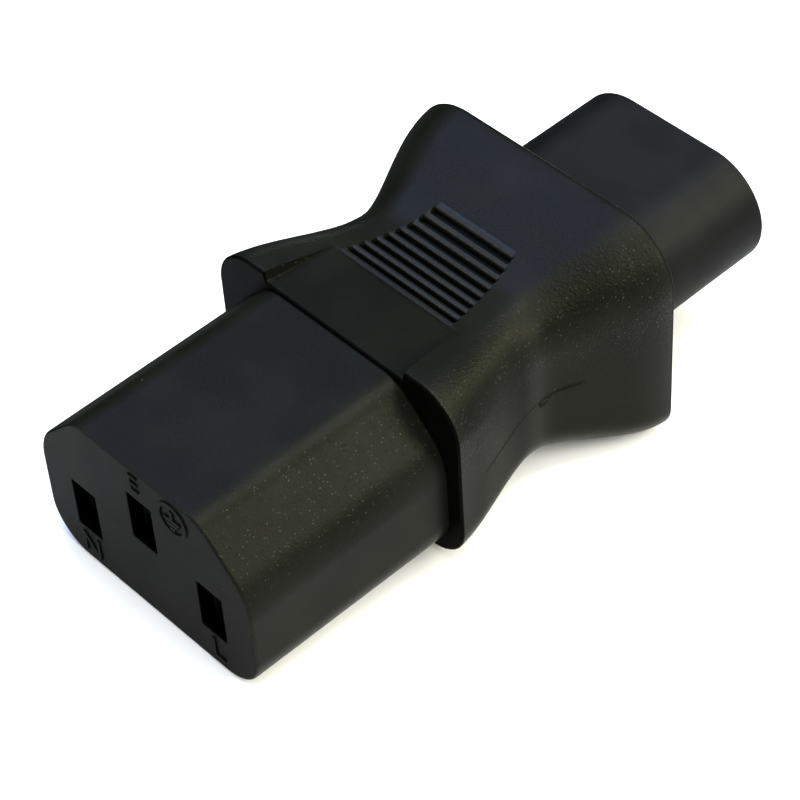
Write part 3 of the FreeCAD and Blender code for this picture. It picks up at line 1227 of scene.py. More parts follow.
@dataclass(frozen=True)
class PanelForm:
    """Sizes of the sunk label panel; root and brim are rise and spread of its walls."""

    front_half: float = 7.5
    rear_half: float = 6.4
    length: float = 6.5
    step: float = 0.15
    root: Pair = (0.08, 0.05)
    brim: Pair = (2.5, 0.48)


@dataclass(frozen=True)
class SeamForm:
    """Sizes of the parting seam; bed and sunk are depths as shares of its radius."""

    seam_z: float = 9.4
    seam_r: float = 0.055
    seam_start: float = 2.4
    seam_end: float = 15.4
    seam_fade: float = 1.6
    seam_bed: float = 0.3
    seam_sunk: float = 1.2


@dataclass(frozen=True)
class GateForm:
    """Sizes of the torn scar of the moulding gate; its rings are shares of the size with their lift."""

    at: Pair = (11.4, 9.1)
    size: Pair = (0.58, 0.34)
    rings: tuple[Pair, ...] = (
        (1.0, -0.12), (1.0, -0.02), (0.9, 0.05), (0.72, 0.12), (0.55, 0.10), (0.38, 0.03), (0.2, 0.02),
    )
    columns: int = 36
    coarse_tear: tuple[int, float, float] = (3, 0.16, 0.7)
    fine_tear: tuple[int, float, float] = (7, 0.09, 0.0)
    uneven: tuple[int, float, float] = (2, 0.35, 0.5)

    def marks(self) -> dict[str, list[float]]:
        """Lists the way, height and lift of the scar's points.

        Returns:
            One number for each point, by label.
        """
        marks: dict[str, list[float]] = {"way": [], "high": [], "lift": []}
        for share, lift in self.rings:
            for column in range(self.columns):
                angle = 2 * math.pi * column / self.columns
                reach = share * (1 + wave(angle, self.coarse_tear) + wave(angle, self.fine_tear))
                marks["way"].append(self.at[0] + self.size[0] * reach * math.cos(angle))
                marks["high"].append(self.at[1] + self.size[1] * reach * math.sin(angle))
                marks["lift"].append(lift * (1 + wave(angle, self.uneven)) if lift > 0 else lift)
        return marks


@dataclass(frozen=True)
class LeadForm:
    """Sizes of the room for one lead, from the contact's tail to the pin's cup."""

    core_r: float = 0.6
    sleeve_r: float = 1.2
    straight: float = 1.0
    lap: float = 0.3
    cup_r: float = 1.2

    def tools(self, pole: Pole) -> list[bpy.types.Object]:
        """Makes the cutters.

        Args:
            pole: Pole that the lead serves.

        Returns:
            The cutters in a row.
        """
        x, z = PLACES.pole(pole)
        pin_x = math.copysign(PLACES.pin_x, x)
        tail = Vector((x, PLACES.tail_end_y, z))
        cup = Vector((pin_x, PLACES.cup_y, PLACES.inlet_z))
        root = Vector((pin_x, PLACES.root_y + LAP, PLACES.inlet_z))
        straight, lap = Vector((0, self.straight, 0)), Vector((0, self.lap, 0))
        return [
            rod_solid("core_tool", tail - lap, tail + straight, self.core_r),
            rod_solid("sleeve_tool", tail + straight, cup - straight, self.sleeve_r),
            rod_solid("core_tool", cup - straight, cup + lap, self.core_r),
            rod_solid("cup_tool", cup, root, self.cup_r),
        ]


@dataclass(frozen=True)
class InletForm:
    """Outline of the inlet and the anchor bar that holds its root in the outer moulding."""

    radius: float = 5.2
    end_steps: int = 32
    anchor_half: float = 4.0
    anchor_in: float = 0.8
    anchor_t: float = 1.6

    def outline(self, inset: float = 0.0) -> Loop:
        """Draws the stadium around the inlet's centre.

        Args:
            inset: Even inset in mm.

        Returns:
            The outline's points.
        """
        radius = self.radius - inset
        off = PLACES.inlet_half - inset - radius
        right = arc_loop((off, PLACES.inlet_z), radius, -90, 90, self.end_steps)
        return right + arc_loop((-off, PLACES.inlet_z), radius, 90, 270, self.end_steps)

    def anchor(self, name: str) -> bpy.types.Object:
        """Makes the anchor bar.

        Args:
            name: Name of the object.

        Returns:
            The bar.
        """
        start = PLACES.root_y + self.anchor_in
        low, high = PLACES.anchor_z
        end = start + self.anchor_t
        return bar_solid(name, (-self.anchor_half, start, low), (self.anchor_half, end, high))


@dataclass
class OuterMoulding:
    """Soft outer moulding: nose, waisted grip, label panel and finger rest."""

    nose: NoseForm = NoseForm()
    grip: GripForm = GripForm()
    ribs: RibForm = RibForm()
    panel: PanelForm = PanelForm()
    seam: SeamForm = SeamForm()
    gate: GateForm = GateForm()
    lead: LeadForm = LeadForm()
    inlet: InletForm = InletForm()
    finish: GrainedPvc = GrainedPvc()
    edge_steps: int = 5
    row_pitch: float = 0.4
    rib_row_pitch: float = 0.05
    rib_margin: float = 0.55
    arc_steps: tuple[int, ...] = (16, 16, 10, 10)
    flat_steps: tuple[int, ...] = (150, 14, 24, 14)
    seam_steps: int = 80
    seam_sides: int = 10
    skin_sharp: float = 34
    seam_sharp: float = 60
    gate_sharp: float = 50

    @property
    def flange_y(self) -> float:
        """Station of the front flange's face."""
        return PLACES.rear_y - self.grip.length

    @property
    def nose_top(self) -> float:
        """Height of the nose's upper face."""
        return self.grip.axis_z + self.nose.height / 2

    def sized_tree(self, name: str, *forms: Union[RibForm, SeamForm]) -> SizedTree:
        """Starts a tree on the grip's sizes.

        Args:
            name: Name of the tree.
            forms: Further forms whose sizes it takes.

        Returns:
            The tree.
        """
        sizes = {"flange_y": self.flange_y}
        for form in (self.grip, *forms):
            sizes.update(asdict(form))
        return SizedTree(name, sizes)

    def nose_loop(self, inset: float, crest: float) -> Loop:
        """Draws the nose's outline, moved inwards by an even inset.

        Args:
            inset: Inset in mm.
            crest: Radius of the two upper corners.

        Returns:
            The outline's points.
        """
        form = self.nose
        half = form.width / 2 - inset
        low = self.nose_top - form.height + inset
        high = self.nose_top - inset
        cut = form.chamfer - inset * (2 - math.sqrt(2))
        foot, shoulder = form.foot_r - inset, form.shoulder_r - inset
        corners = [
            (-half, low, foot), (half, low, foot), (half, high - cut, shoulder),
            (half - cut, high, crest), (-half + cut, high, crest), (-half, high - cut, shoulder),
        ]
        return rounded_loop(corners, form.corner_steps)

    def grip_rows(self) -> Loop:
        """Lists the grip's point rows, close together at the ribs.

        Returns:
            The way behind the flange and the inset of each row.
        """
        edge, length, ribs = self.grip.edge, self.grip.length, self.ribs
        dense_start = ribs.groove_first - ribs.groove_pitch - self.rib_margin
        dense_end = ribs.groove_first + ribs.run + self.rib_margin
        stretches = (
            (edge, dense_start, self.row_pitch),
            (dense_start, dense_end, self.rib_row_pitch),
            (dense_end, length - edge, self.row_pitch),
        )
        round_over = quarter_round(edge, self.edge_steps)
        rows = list(round_over)
        for start, end, pitch in stretches:
            count = round((end - start) / pitch)
            rows += [(start + (end - start) * step / count, 0.0) for step in range(1, count + 1)]
        return rows + [(length - way, inset) for way, inset in reversed(round_over[:-1])]

    def grip_columns(self) -> list[tuple[float, float, float, float]]:
        """Lists the grip's point columns.

        Returns:
            The corner signs on X and Z and the arc's direction there, for each column.
        """
        columns: list[tuple[float, float, float, float]] = []
        corners = ((1, 1), (-1, 1), (-1, -1), (1, -1))
        for i, (cx, cz) in enumerate(corners):
            steps, between = self.arc_steps[i], self.flat_steps[i]
            for step in range(steps + 1):
                angle = math.radians(90 * i + 90 * step / steps)
                fan = math.cos(angle), math.sin(angle)
                columns.append((cx, cz, *fan))
            nx, nz = corners[(i + 1) % len(corners)]
            for step in range(1, between):
                share = step / between
                columns.append((cx + (nx - cx) * share, cz + (nz - cz) * share, *fan))
        return columns

    def grip_skin(self, material: bpy.types.Material) -> bpy.types.Object:
        """Grows the closed skin of the grip from its rule, ribs included.

        Args:
            material: Finish of the skin.

        Returns:
            The closed grip.
        """
        rows, columns = self.grip_rows(), self.grip_columns()
        marks = {
            "way": [way for way, _ in rows for _ in columns],
            "inset": [inset for _, inset in rows for _ in columns],
        }
        for i, label in enumerate(("corner_x", "corner_z", "fan_x", "fan_z")):
            marks[label] = [column[i] for _ in rows for column in columns]
        base = marked_base("outer_moulding", marks, [], ring_faces(len(rows), len(columns)))
        tree = self.sized_tree("grip_skin", self.ribs)
        way, inset = tree.mark("way"), tree.mark("inset")
        corner_x, corner_z = tree.mark("corner_x"), tree.mark("corner_z")
        fan_x, fan_z = tree.mark("fan_x"), tree.mark("fan_z")
        axis_z = tree.size("axis_z")
        half = tree.along("half") - inset
        top = axis_z + tree.along("rise", tree.size("run_out")) - inset
        foot = axis_z - tree.along("drop", tree.size("run_out"), "waist_under_at") + inset
        soft = tree.along("soft") - inset
        under = tree.along("under") - inset
        up = (corner_z + 1.0) * 0.5
        radius = under + (soft - under) * corner_z.math("GREATER_THAN", 0.0)
        x = corner_x * (half - radius) + fan_x * radius
        z = (foot + under) * (1.0 - up) + (top - soft) * up + fan_z * radius
        on_top = fan_z.math("GREATER_THAN", 0.999)
        z = z - self.groove_fall(tree, x) * on_top
        tree.put(x, way + tree.size("flange_y"), z)
        return tree.grow(base, material)

    def groove_fall(self, tree: SizedTree, x: Term) -> Term:
        """Gives the fall of the upper face in the grooves and in the shallow lead-in before them.

        Args:
            tree: Tree of the grip's skin.
            x: Place on X in mm.

        Returns:
            The fall in mm.
        """
        way, first, pitch = tree.mark("way"), tree.size("groove_first"), tree.size("groove_pitch")
        last = tree.size("groove_count") - 1.0
        index = ((way - first) / pitch).math("ROUND").math("MAXIMUM", -1.0).math("MINIMUM", last)
        before_first = index.math("LESS_THAN", -0.5)
        depth = tree.size("groove_depth") * (1.0 - tree.size("groove_lead_in") * before_first)
        off = abs(way - first - index * pitch)
        brim = tree.size("groove_brim")
        down = (brim - off).math("DIVIDE", brim - tree.size("groove_floor"), clamp=True)
        across = 1.0 - (1.0 - down * down).math("SQRT")
        reach = tree.size("groove_front_half")
        reach = reach + (tree.size("groove_rear_half") - reach) * index / last
        ends = abs(x).fall(reach - tree.size("groove_end"), reach)
        return depth * across * ends

    def nose_solid(self) -> bpy.types.Object:
        """Lofts the nose with its rounded rim, a little into the grip.

        Returns:
            The closed nose.
        """
        crest = self.nose.crest_r
        rings = []
        for way, inset in quarter_round(self.nose.rim, self.nose.rim_steps):
            rings.append((PLACES.face_y + way, self.nose_loop(inset, crest - inset)))
        rings.append((self.flange_y + PAST, self.nose_loop(0.0, crest)))
        return loft_solid("nose", rings)

    def panel_tool(self) -> bpy.types.Object:
        """Makes the wedge that sinks the label panel, with a little draft on its walls.

        Returns:
            The cutter.
        """
        form = self.panel
        floor = self.nose_top + form.step
        front, rear = self.flange_y - PAST, self.flange_y + form.length
        points = []
        for rise, spread in ((0.0, 0.0), form.root, form.brim):
            front_half, rear_half = form.front_half + spread, form.rear_half + spread
            points += [(side * front_half, front, floor + rise) for side in (-1, 1)]
            points += [(side * rear_half, rear + spread, floor + rise) for side in (1, -1)]
        return add_mesh("panel_tool", points, ring_faces(3, 4))

    def slot_tool(self, pole: Pole) -> bpy.types.Object:
        """Makes the cutter of one slot, with a small lip at the face.

        Args:
            pole: Pole that the slot serves.

        Returns:
            The cutter.
        """
        x, z = PLACES.pole(pole)
        form, face = self.nose, PLACES.face_y
        lip = form.slot_lip
        stations = (
            (face - LAP, lip), (face, lip), (face + lip * form.lip_bend[0], lip * form.lip_bend[1]),
            (face + lip, 0.0), (PLACES.carrier_y + LAP, 0.0),
        )
        rings = []
        for y, grow in stations:
            w, h = form.slot_w / 2 + grow, form.slot_h / 2 + grow
            signs = ((-1, -1), (1, -1), (1, 1), (-1, 1))
            corners = [(x + i * w, z + j * h, form.slot_r) for i, j in signs]
            rings.append((y, rounded_loop(corners, form.slot_steps)))
        return loft_solid("slot_tool", rings)

    def inner_tools(self) -> list[bpy.types.Object]:
        """Makes the cutters for carrier, tails, leads and inlet root.

        Returns:
            The cutters.
        """
        pocket = self.nose_loop(self.nose.skin, self.nose.pocket_crest_r)
        tools = [loft_solid("carrier_tool", [(PLACES.carrier_y, pocket), (PLACES.cap_end_y, pocket)])]
        half = self.nose.tail_w / 2
        for pole in Pole:
            x, z = PLACES.pole(pole)
            end = PLACES.tail_end_y if pole in WIRED else PLACES.stub_end_y
            low, high = (x - half, PLACES.cap_end_y - LAP, z - half), (x + half, end, z + half)
            tools.append(bar_solid("tail_tool", low, high))
        for pole in WIRED:
            tools += self.lead.tools(pole)
        loop = self.inlet.outline()
        tools.append(loft_solid("inlet_tool", [(PLACES.root_y, loop), (PLACES.rear_y + PAST, loop)]))
        tools.append(self.inlet.anchor("anchor_tool"))
        return tools

    def parting_seams(self, material: bpy.types.Material) -> bpy.types.Object:
        """Grows the fine parting seam along both sides of the grip, sunk away at its ends.

        Args:
            material: Finish of the seams.

        Returns:
            The two seams in one piece.
        """
        start, run = self.seam.seam_start, self.seam.seam_end - self.seam.seam_start
        ways = [start + run * step / self.seam_steps for step in range(self.seam_steps + 1)]
        edges = [(i, i + 1) for i in range(2 * len(ways) - 1) if i != len(ways) - 1]
        marks = {"way": ways * 2, "side": [1.0] * len(ways) + [-1.0] * len(ways)}
        base = marked_base("parting_seams", marks, edges, [])
        tree = self.sized_tree("parting_seam", self.seam)
        way, fade, sunk = tree.mark("way"), tree.size("seam_fade"), tree.size("seam_sunk")
        first, last = tree.size("seam_start"), tree.size("seam_end")
        front = way.remap(first, first + fade, sunk, tree.size("seam_bed"))
        rear = way.remap(last - fade, last, 0.0, sunk)
        sink = front.math("MAXIMUM", rear) * tree.size("seam_r")
        x = (tree.along("half") - sink) * tree.mark("side")
        tree.put(x, way + tree.size("flange_y"), tree.size("seam_z"))
        tree.then("GeometryNodeMeshToCurve", "Mesh")
        ring = tree.tree.nodes.new("GeometryNodeCurvePrimitiveCircle")
        ring.inputs["Resolution"].default_value = self.seam_sides
        feed(ring.inputs["Radius"], tree.size("seam_r") * MM)
        sweep = tree.then("GeometryNodeCurveToMesh", "Curve")
        tree.tree.links.new(ring.outputs[0], sweep.inputs["Profile Curve"])
        sweep.inputs["Fill Caps"].default_value = True
        return tree.grow(base, material)

    def gate_scar(self, material: bpy.types.Material) -> bpy.types.Object:
        """Grows the small torn scar of the moulding gate on the side's parting line.

        Args:
            material: Finish of the scar.

        Returns:
            The scar as a low closed crater on the skin.
        """
        faces = ring_faces(len(self.gate.rings), self.gate.columns)
        base = marked_base("gate_scar", self.gate.marks(), [], faces)
        tree = self.sized_tree("gate_scar")
        y = tree.mark("way") + tree.size("flange_y")
        tree.put(tree.along("half") + tree.mark("lift"), y, tree.mark("high"))
        return tree.grow(base, material)

    def build(self) -> list[bpy.types.Object]:
        """Builds and dresses the moulding and its seams.

        Returns:
            The finished pieces.
        """
        material = self.finish.material(self.flange_y, PLACES.face_y, self.ribs)
        skin = self.grip_skin(material)
        carve(skin, [self.nose_solid()], Cut.JOIN)
        carve(skin, [self.panel_tool()], Cut.REMOVE)
        carve(skin, [self.slot_tool(pole) for pole in Pole] + self.inner_tools(), Cut.REMOVE)
        smooth(skin, self.skin_sharp)
        seams = self.parting_seams(material)
        smooth(seams, self.seam_sharp)
        scar = self.gate_scar(material)
        smooth(scar, self.gate_sharp)
        return [
            hand_over(skin, material, "grained_pvc", "overmould"),
            hand_over(seams, material, "grained_pvc"),
            hand_over(scar, material, "grained_pvc"),
        ]


@dataclass
class InletShroud:
    """Rigid shroud of the inlet with its figure-8 recess."""

    form: InletForm = InletForm()
    rim: float = 0.4
    rim_steps: int = 6
    wall: float = 1.2
    end_wall: float = 1.7
    notch_r: float = 3.0
    lobe_steps: int = 40
    notch_steps: int = 12
    recess_depth: float = 12.4
    lead: float = 0.4
    floor_r: float = 0.35
    floor_steps: int = 5
    pin_seat_r: float = 1.6
    pin_seat_steps: int = 64
    sharp: float = 34
    finish: SatinPlastic = SatinPlastic(
        "rigid_black", (0.0038, 0.0041, 0.0045), (0.0056, 0.0058, 0.0062), roughness=0.50
    )

    def recess_loop(self, grow: float) -> Loop:
        """Draws the figure-8, grown outwards evenly.

        Args:
            grow: Growth in mm.

        Returns:
            The outline's points.
        """
        lobe = self.form.radius - self.wall
        off = PLACES.inlet_half - self.end_wall - lobe
        lobe, notch = lobe + grow, self.notch_r - grow
        rise = math.sqrt((lobe + notch) ** 2 - off ** 2)
        lean = math.degrees(math.atan2(rise, -off))
        z = PLACES.inlet_z
        right = arc_loop((off, z), lobe, -lean, lean, self.lobe_steps)
        top = arc_loop((0, z + rise), notch, lean - 180, -lean, self.notch_steps)
        left = arc_loop((-off, z), lobe, 180 - lean, 180 + lean, self.lobe_steps)
        bottom = arc_loop((0, z - rise), notch, lean, 180 - lean, self.notch_steps)
        return right + top[1:-1] + left + bottom[1:-1]

    def shell(self) -> bpy.types.Object:
        """Lofts the shroud with its rounded rim, and joins the anchor bar to its root.

        Returns:
            The shroud before it is hollowed.
        """
        rings = [(PLACES.root_y, self.form.outline())]
        for inset, back in quarter_round(self.rim, self.rim_steps):
            rings.append((PLACES.mouth_y - back, self.form.outline(inset)))
        shroud = loft_solid("inlet_shroud", rings)
        carve(shroud, [self.form.anchor("anchor")], Cut.JOIN)
        return shroud

    def recess_tools(self) -> list[bpy.types.Object]:
        """Makes the cutters for the recess, round at its floor and mouth, and for the pins' seats.

        Returns:
            The cutters.
        """
        floor = PLACES.mouth_y - self.recess_depth
        rings = []
        for way, inset in quarter_round(self.floor_r, self.floor_steps):
            rings.append((floor + way, self.recess_loop(-inset)))
        for grow, back in quarter_round(self.lead, self.rim_steps):
            rings.append((PLACES.mouth_y - back, self.recess_loop(grow)))
        rings.append((PLACES.mouth_y + PAST, self.recess_loop(self.lead)))
        tools = [loft_solid("recess_tool", rings)]
        for x in (PLACES.pin_x, -PLACES.pin_x):
            ends = [Vector((x, y, PLACES.inlet_z)) for y in (PLACES.root_y - PAST, floor + PAST)]
            tools.append(rod_solid("seat_tool", *ends, self.pin_seat_r, self.pin_seat_steps))
        return tools

    def build(self) -> list[bpy.types.Object]:
        """Builds and dresses the shroud.

        Returns:
            The finished piece.
        """
        shroud = self.shell()
        carve(shroud, self.recess_tools(), Cut.REMOVE)
        smooth(shroud, self.sharp)
        return [hand_over(shroud, self.finish.material(), "rigid_black", "inlet_body")]


@dataclass
class InletPins:
    """The two turned and plated pins of the inlet."""

    radius: float = 1.2
    shank_r: float = 1.6
    tip_r: float = 0.5
    tip_round: float = 0.12
    nose_length: float = 1.2
    nose_curve: float = 1.5
    nose_steps: int = 8
    cup_r: float = 0.6
    cup_depth: float = 2.8
    free_length: float = 10.1
    break_edge: float = 0.08
    steps: int = 48
    sharp: float = 32
    finish: DrawnMetal = DrawnMetal(
        "plated_pin", (0.66, 0.64, 0.60), (0.50, 0.47, 0.42), roughness=0.26,
        marks=(0.04, 1.0, 0.04), marks_per_mm=8.0,
    )

    def profile(self) -> Loop:
        """Lists the turned profile from cup floor to tip.

        Returns:
            The radius and station of each point.
        """
        seat, tip = PLACES.tip_y - self.free_length, PLACES.tip_y
        nose, cup = tip - self.nose_length, PLACES.cup_y
        edge = self.break_edge
        points = [
            (0.0, cup + self.cup_depth), (self.cup_r, cup + self.cup_depth), (self.cup_r, cup + edge),
            (self.cup_r + edge, cup), (self.radius - edge, cup), (self.radius, cup + edge),
            (self.radius, PLACES.root_y), (self.shank_r, PLACES.root_y), (self.shank_r, seat - edge),
            (self.shank_r - edge, seat), (self.radius, seat), (self.radius, nose),
        ]
        for step in range(1, self.nose_steps + 1):
            share = step / self.nose_steps
            drop = (self.radius - self.tip_r) * share ** self.nose_curve
            points.append((self.radius - drop, nose + (self.nose_length - self.tip_round) * share))
        points.append((self.tip_r - self.tip_round / 2, tip - self.tip_round / 3))
        points.append((self.tip_r - self.tip_round * 1.5, tip))
        return points + [(0.0, tip)]

    def pin(self, pole: Pole) -> bpy.types.Object:
        """Turns one pin.

        Args:
            pole: Pole that the pin carries.

        Returns:
            The closed pin.
        """
        x, z, steps = middle("pin_" + pole.value, 0), PLACES.inlet_z, self.steps
        profile = self.profile()
        points = [(x, profile[0][1], z)]
        for radius, y in profile[1:-1]:
            for step in range(steps):
                angle = 2 * math.pi * step / steps
                points.append((x + radius * math.cos(angle), y, z + radius * math.sin(angle)))
        points.append((x, profile[-1][1], z))
        rows = len(profile) - 2
        faces = [[corner + 1 for corner in face] for face in ring_faces(rows, steps)[2:]]
        last_row = 1 + (rows - 1) * steps
        for step in range(steps):
            on = (step + 1) % steps
            faces.append([0, 1 + step, 1 + on])
            faces.append([len(points) - 1, last_row + step, last_row + on])
        piece = add_mesh("inlet_pin_" + pole.value, points, faces)
        smooth(piece, self.sharp)
        return piece

    def build(self) -> list[bpy.types.Object]:
        """Builds and dresses both pins.

        Returns:
            The finished pieces.
        """
        material = self.finish.material()
        pins = []
        for pole in WIRED:
            pins.append(hand_over(self.pin(pole), material, "plated_pin", "pin_" + pole.value))
        return pins


@dataclass
class PoleMarks:
    """Raised pole letters and the earth sign on the socket face."""

    letter_h: float = 2.0
    earth_letter_h: float = 1.6
    line_at: Pair = (7.3, 4.4)
    neutral_at: Pair = (-7.05, 4.35)
    earth_at: Pair = (-0.15, 16.35)
    curve_steps: int = 6
    raise_by: float = 0.12
    sink: float = 0.05
    sign_at: Pair = (4.0, 15.75)
    sign_r: float = 1.55
    sign_steps: int = 64
    stroke: float = 0.3
    stem: float = 0.9
    bars: tuple[float, ...] = (1.7, 1.1, 0.5)
    bar_drop: float = 0.1
    bar_pitch: float = 0.4

    @property
    def front_y(self) -> float:
        """Station of the marks' raised faces."""
        return PLACES.face_y - self.raise_by

    @property
    def back_y(self) -> float:
        """Station to which the marks are sunk into the socket face."""
        return PLACES.face_y + self.sink

    def letter(self, text: str, at: Pair, height: float) -> bpy.types.Object:
        """Makes one raised letter.

        Args:
            text: The letter.
            at: Its middle as x and z.
            height: Its height in mm.

        Returns:
            The letter as a mesh.
        """
        curve = bpy.data.curves.new("mark_" + text, "FONT")
        curve.body = text
        curve.extrude = self.sink
        curve.resolution_u = self.curve_steps
        stand = add_object("mark_" + text, curve)
        mesh = shown_mesh(stand)
        bpy.data.objects.remove(stand)
        xs = [v.co.x for v in mesh.vertices]
        ys = [v.co.y for v in mesh.vertices]
        scale = height / (max(ys) - min(ys))
        mid_x, mid_y = (max(xs) + min(xs)) / 2, (max(ys) + min(ys)) / 2
        for v in mesh.vertices:
            y = self.front_y if v.co.z > 0 else self.back_y
            x, z = at[0] + (v.co.x - mid_x) * scale, at[1] + (v.co.y - mid_y) * scale
            v.co = Vector((x, y, z)) * MM
        return add_object("mark_" + text, mesh)

    def raised_bar(self, x: float, z: float, width: float, height: float) -> bpy.types.Object:
        """Makes one stroke of the earth sign.

        Args:
            x: Middle on X.
            z: Middle on Z.
            width: Size on X.
            height: Size on Z.

        Returns:
            The stroke.
        """
        low = (x - width / 2, self.front_y, z - height / 2)
        high = (x + width / 2, self.back_y, z + height / 2)
        return bar_solid("stroke", low, high)

    def earth_sign(self) -> list[bpy.types.Object]:
        """Makes the earth sign.

        Returns:
            Its ring, stem and bars.
        """
        x, z = self.sign_at
        count = self.sign_steps
        radii = (self.sign_r, self.sign_r - self.stroke)
        loops = [arc_loop((x, z), radius, 0, 360, count)[:-1] for radius in radii]
        depths = (self.front_y, self.back_y)
        points = [(px, y, pz) for loop in loops for y in depths for px, pz in loop]
        faces = []
        for first, second in ((0, 1), (1, 3), (3, 2), (2, 0)):
            low, high = first * count, second * count
            for step in range(count):
                on = (step + 1) % count
                faces.append([low + step, low + on, high + on, high + step])
        strokes = [add_mesh("ring", points, faces)]
        strokes.append(self.raised_bar(x, z + self.stem / 2, self.stroke, self.stem))
        for i, width in enumerate(self.bars):
            strokes.append(self.raised_bar(x, z - self.bar_drop - self.bar_pitch * i, width, self.stroke))
        return strokes

    def build(self, material: bpy.types.Material) -> list[bpy.types.Object]:
        """Builds and dresses the marks as one piece.

        Args:
            material: Finish of the outer moulding.

        Returns:
            The finished piece.
        """
        marks = [
            self.letter("L", self.line_at, self.letter_h),
            self.letter("N", self.neutral_at, self.letter_h),
            self.letter("E", self.earth_at, self.earth_letter_h),
            *self.earth_sign(),
        ]
        shell = bmesh.new()
        for mark in marks:
            shell.from_mesh(mark.data)
            bpy.data.objects.remove(mark)
        mesh = bpy.data.meshes.new("pole_marks")
        shell.to_mesh(mesh)
        shell.free()
        face_outwards(mesh)
        return [hand_over(add_object("pole_marks", mesh), material, "grained_pvc")]


def dress_nodes(nodes: Iterable[str], material: bpy.types.Material) -> list[bpy.types.Object]:
    """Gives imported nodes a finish.

    Args:
        nodes: Names of the nodes.
        material: Their finish.

    Returns:
        The nodes' objects.
    """
    dressed = [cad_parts[name] for name in nodes]
    for node in dressed:
        node.data.materials.clear()
        node.data.materials.append(material)
    return dressed


@dataclass
class SocketCore:
    """Carrier, cap and contacts behind the socket face, which keep their solids."""

    plastic: SatinPlastic = SatinPlastic(
        "carrier_black", (0.0060, 0.0060, 0.0062), (0.0090, 0.0090, 0.0092), roughness=0.50
    )
    brass: DrawnMetal = DrawnMetal(
        "contact_brass", (0.80, 0.58, 0.27), (0.56, 0.38, 0.18), roughness=0.32
    )

    def build(self) -> list[bpy.types.Object]:
        """Dresses the solids.

        Returns:
            The dressed nodes.
        """
        dressed = dress_nodes(("socket_carrier", "socket_cap"), self.plastic.material())
        return dressed + dress_nodes(["contact_" + pole.value for pole in Pole], self.brass.material())


@dataclass
class Leads:
    """The two short wires between contacts and pins, which keep their solids."""

    copper: DrawnMetal = DrawnMetal("wire_core", (0.83, 0.43, 0.26), (0.60, 0.30, 0.18), roughness=0.30)
    brown: SatinPlastic = SatinPlastic(
        "sleeve_brown", (0.105, 0.045, 0.020), (0.140, 0.065, 0.032), roughness=0.44
    )
    blue: SatinPlastic = SatinPlastic(
        "sleeve_blue", (0.020, 0.075, 0.300), (0.035, 0.105, 0.360), roughness=0.44
    )

    def build(self) -> list[bpy.types.Object]:
        """Dresses the solids.

        Returns:
            The dressed nodes.
        """
        cores = ["lead_" + pole.value + "_core" for pole in WIRED]
        dressed = dress_nodes(cores, self.copper.material())
        dressed += dress_nodes(["lead_line_sleeve"], self.brown.material())
        return dressed + dress_nodes(["lead_neutral_sleeve"], self.blue.material())


@dataclass(frozen=True)
class Lamp:
    """One soft area light: place and size in mm, power in watts, colour."""

    name: str
    place: Triple
    size: Pair
    power: float
    colour: Colour

    def build(self, target: Vector) -> None:
        """Hangs the light so that it faces a target.

        Args:
            target: Place that it faces, in mm.
        """
        light = bpy.data.lights.new(self.name, "AREA")
        light.energy = self.power
        light.shape = "RECTANGLE"
        light.size, light.size_y = self.size[0] * MM, self.size[1] * MM
        light.color = self.colour
        stand = add_object(self.name, light)
        stand.location = Vector(self.place) * MM
        aim = target * MM - stand.location
        stand.rotation_euler = aim.to_track_quat("-Z", "Y").to_euler()


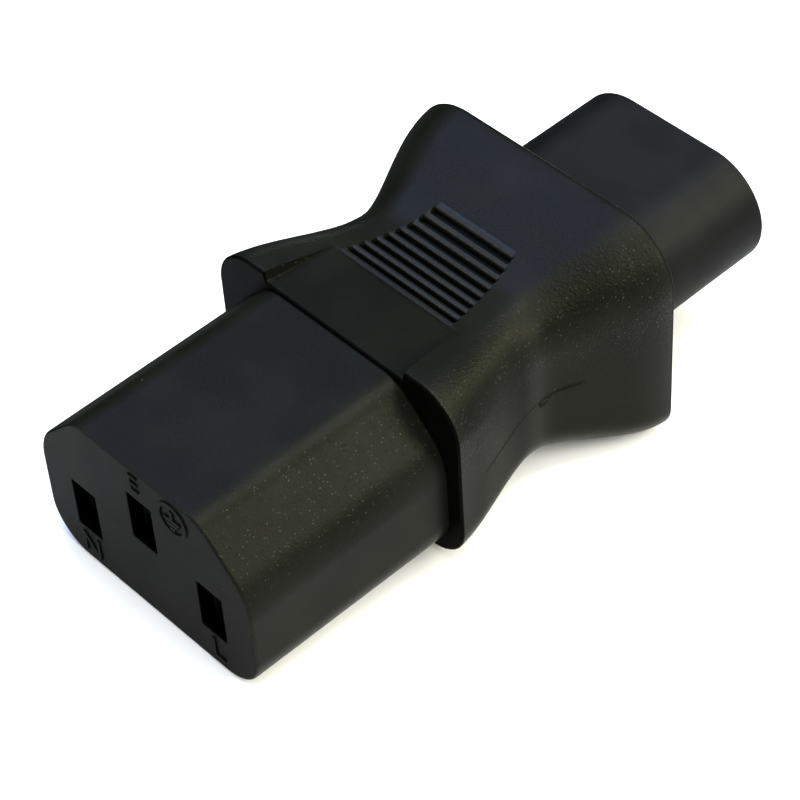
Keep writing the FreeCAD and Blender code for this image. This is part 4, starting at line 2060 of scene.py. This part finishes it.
@dataclass
class Studio:
    """Pale floor, soft lights and the camera at the photograph's angle."""

    nose_bottom: float = 2.5
    nose_front_y: float = -27.5
    heel_y: float = 12.6
    floor_half: float = 4000.0
    floor_gap: float = 0.02
    floor_colour: Colour = (0.90, 0.90, 0.90)
    azimuth: float = 49.64
    elevation: float = 46.0
    roll: float = -4.32
    distance: float = 214.16
    lens: float = 126.11
    sensor: float = 36.0
    clip_end: float = 20000.0
    target: Triple = (0.05, -2.94, 6.22)
    sky: Colour = (0.84, 0.91, 1.0)
    sky_height: Pair = (0.05, 0.75)
    sky_strength: Pair = (0.05, 0.52)
    lamps: tuple[Lamp, ...] = (
        Lamp("overhead", (0, 0, 700), (420, 420), 2.7, (1.0, 1.0, 0.90)),
        Lamp("warm_side", (425, 248, 295), (190, 380), 2.35, (1.0, 0.98, 0.92)),
        Lamp("bridge", (100, 306, 600), (300, 260), 2.4, (1.0, 0.99, 1.0)),
        Lamp("shoulder", (390, -52, 510), (220, 420), 2.2, (1.0, 0.99, 0.84)),
        Lamp("warm_back", (250, 490, 225), (260, 340), 2.1, (1.0, 0.98, 0.70)),
        Lamp("cool_left", (-370, 45, 560), (420, 420), 2.55, (0.37, 0.51, 1.0)),
        Lamp("front_fill", (-420, -460, 420), (360, 360), 1.9, (1.0, 0.99, 0.95)),
    )

    def lay_floor(self) -> None:
        """Lays the floor under the two edges on which the adapter rests."""
        slope = self.nose_bottom / (self.heel_y - self.nose_front_y)
        points = []
        for i, j in ((-1, -1), (1, -1), (1, 1), (-1, 1)):
            x, y = i * self.floor_half, j * self.floor_half
            points.append((x, y, slope * (self.heel_y - y) - self.floor_gap))
        floor = add_mesh("floor", points, [(0, 1, 2, 3)])
        recipe = Recipe("pale_floor")
        recipe.set(base_color=self.floor_colour, roughness=0.9, specular_ior_level=0.1)
        floor.data.materials.append(recipe.material)

    def set_camera(self) -> None:
        """Sets the camera."""
        az, el, roll = (math.radians(value) for value in (self.azimuth, self.elevation, self.roll))
        away = Vector((math.sin(az) * math.cos(el), -math.cos(az) * math.cos(el), math.sin(el)))
        right = (-away).cross(Vector((0, 0, 1))).normalized()
        up = right.cross(-away)
        turned_right = right * math.cos(roll) + up * math.sin(roll)
        turned_up = up * math.cos(roll) - right * math.sin(roll)
        turn = Matrix((turned_right, turned_up, away)).transposed()
        place = (Vector(self.target) + away * self.distance) * MM
        view = bpy.data.cameras.new("camera")
        view.lens = self.lens
        view.sensor_width = self.sensor
        view.clip_end = self.clip_end * MM
        stand = add_object("camera", view)
        stand.matrix_world = Matrix.Translation(place) @ turn.to_4x4()
        bpy.context.scene.camera = stand

    def raise_sky(self) -> None:
        """Surrounds the part with a pale sky that brightens upwards."""
        world = bpy.data.worlds.new("studio")
        world.use_nodes = True
        tree = world.node_tree
        sky = tree.nodes["Background"]
        sky.inputs["Color"].default_value = (*self.sky, 1.0)
        split = tree.nodes.new("ShaderNodeSeparateXYZ")
        tree.links.new(tree.nodes.new("ShaderNodeTexCoord").outputs["Generated"], split.inputs[0])
        height = Term(tree, split.outputs[2])
        feed(sky.inputs["Strength"], height.remap(*self.sky_height, *self.sky_strength))
        bpy.context.scene.world = world

    def build(self) -> None:
        """Builds the whole studio."""
        self.lay_floor()
        self.set_camera()
        self.raise_sky()
        for lamp in self.lamps:
            lamp.build(Vector(self.target))
        bpy.context.scene.view_settings.view_transform = "Standard"


def main() -> None:
    """Builds every sub-assembly and the studio."""
    logging.basicConfig(level=logging.INFO, format="%(message)s")
    pieces = OuterMoulding().build()
    pieces += PoleMarks().build(pieces[0].data.materials[0])
    for assembly in (InletShroud(), InletPins(), SocketCore(), Leads()):
        pieces += assembly.build()
    for piece in pieces:
        LOG.info("%s: %d faces", piece.name, len(piece.data.polygons))
    Studio().build()


if __name__ == "__main__":
    main()
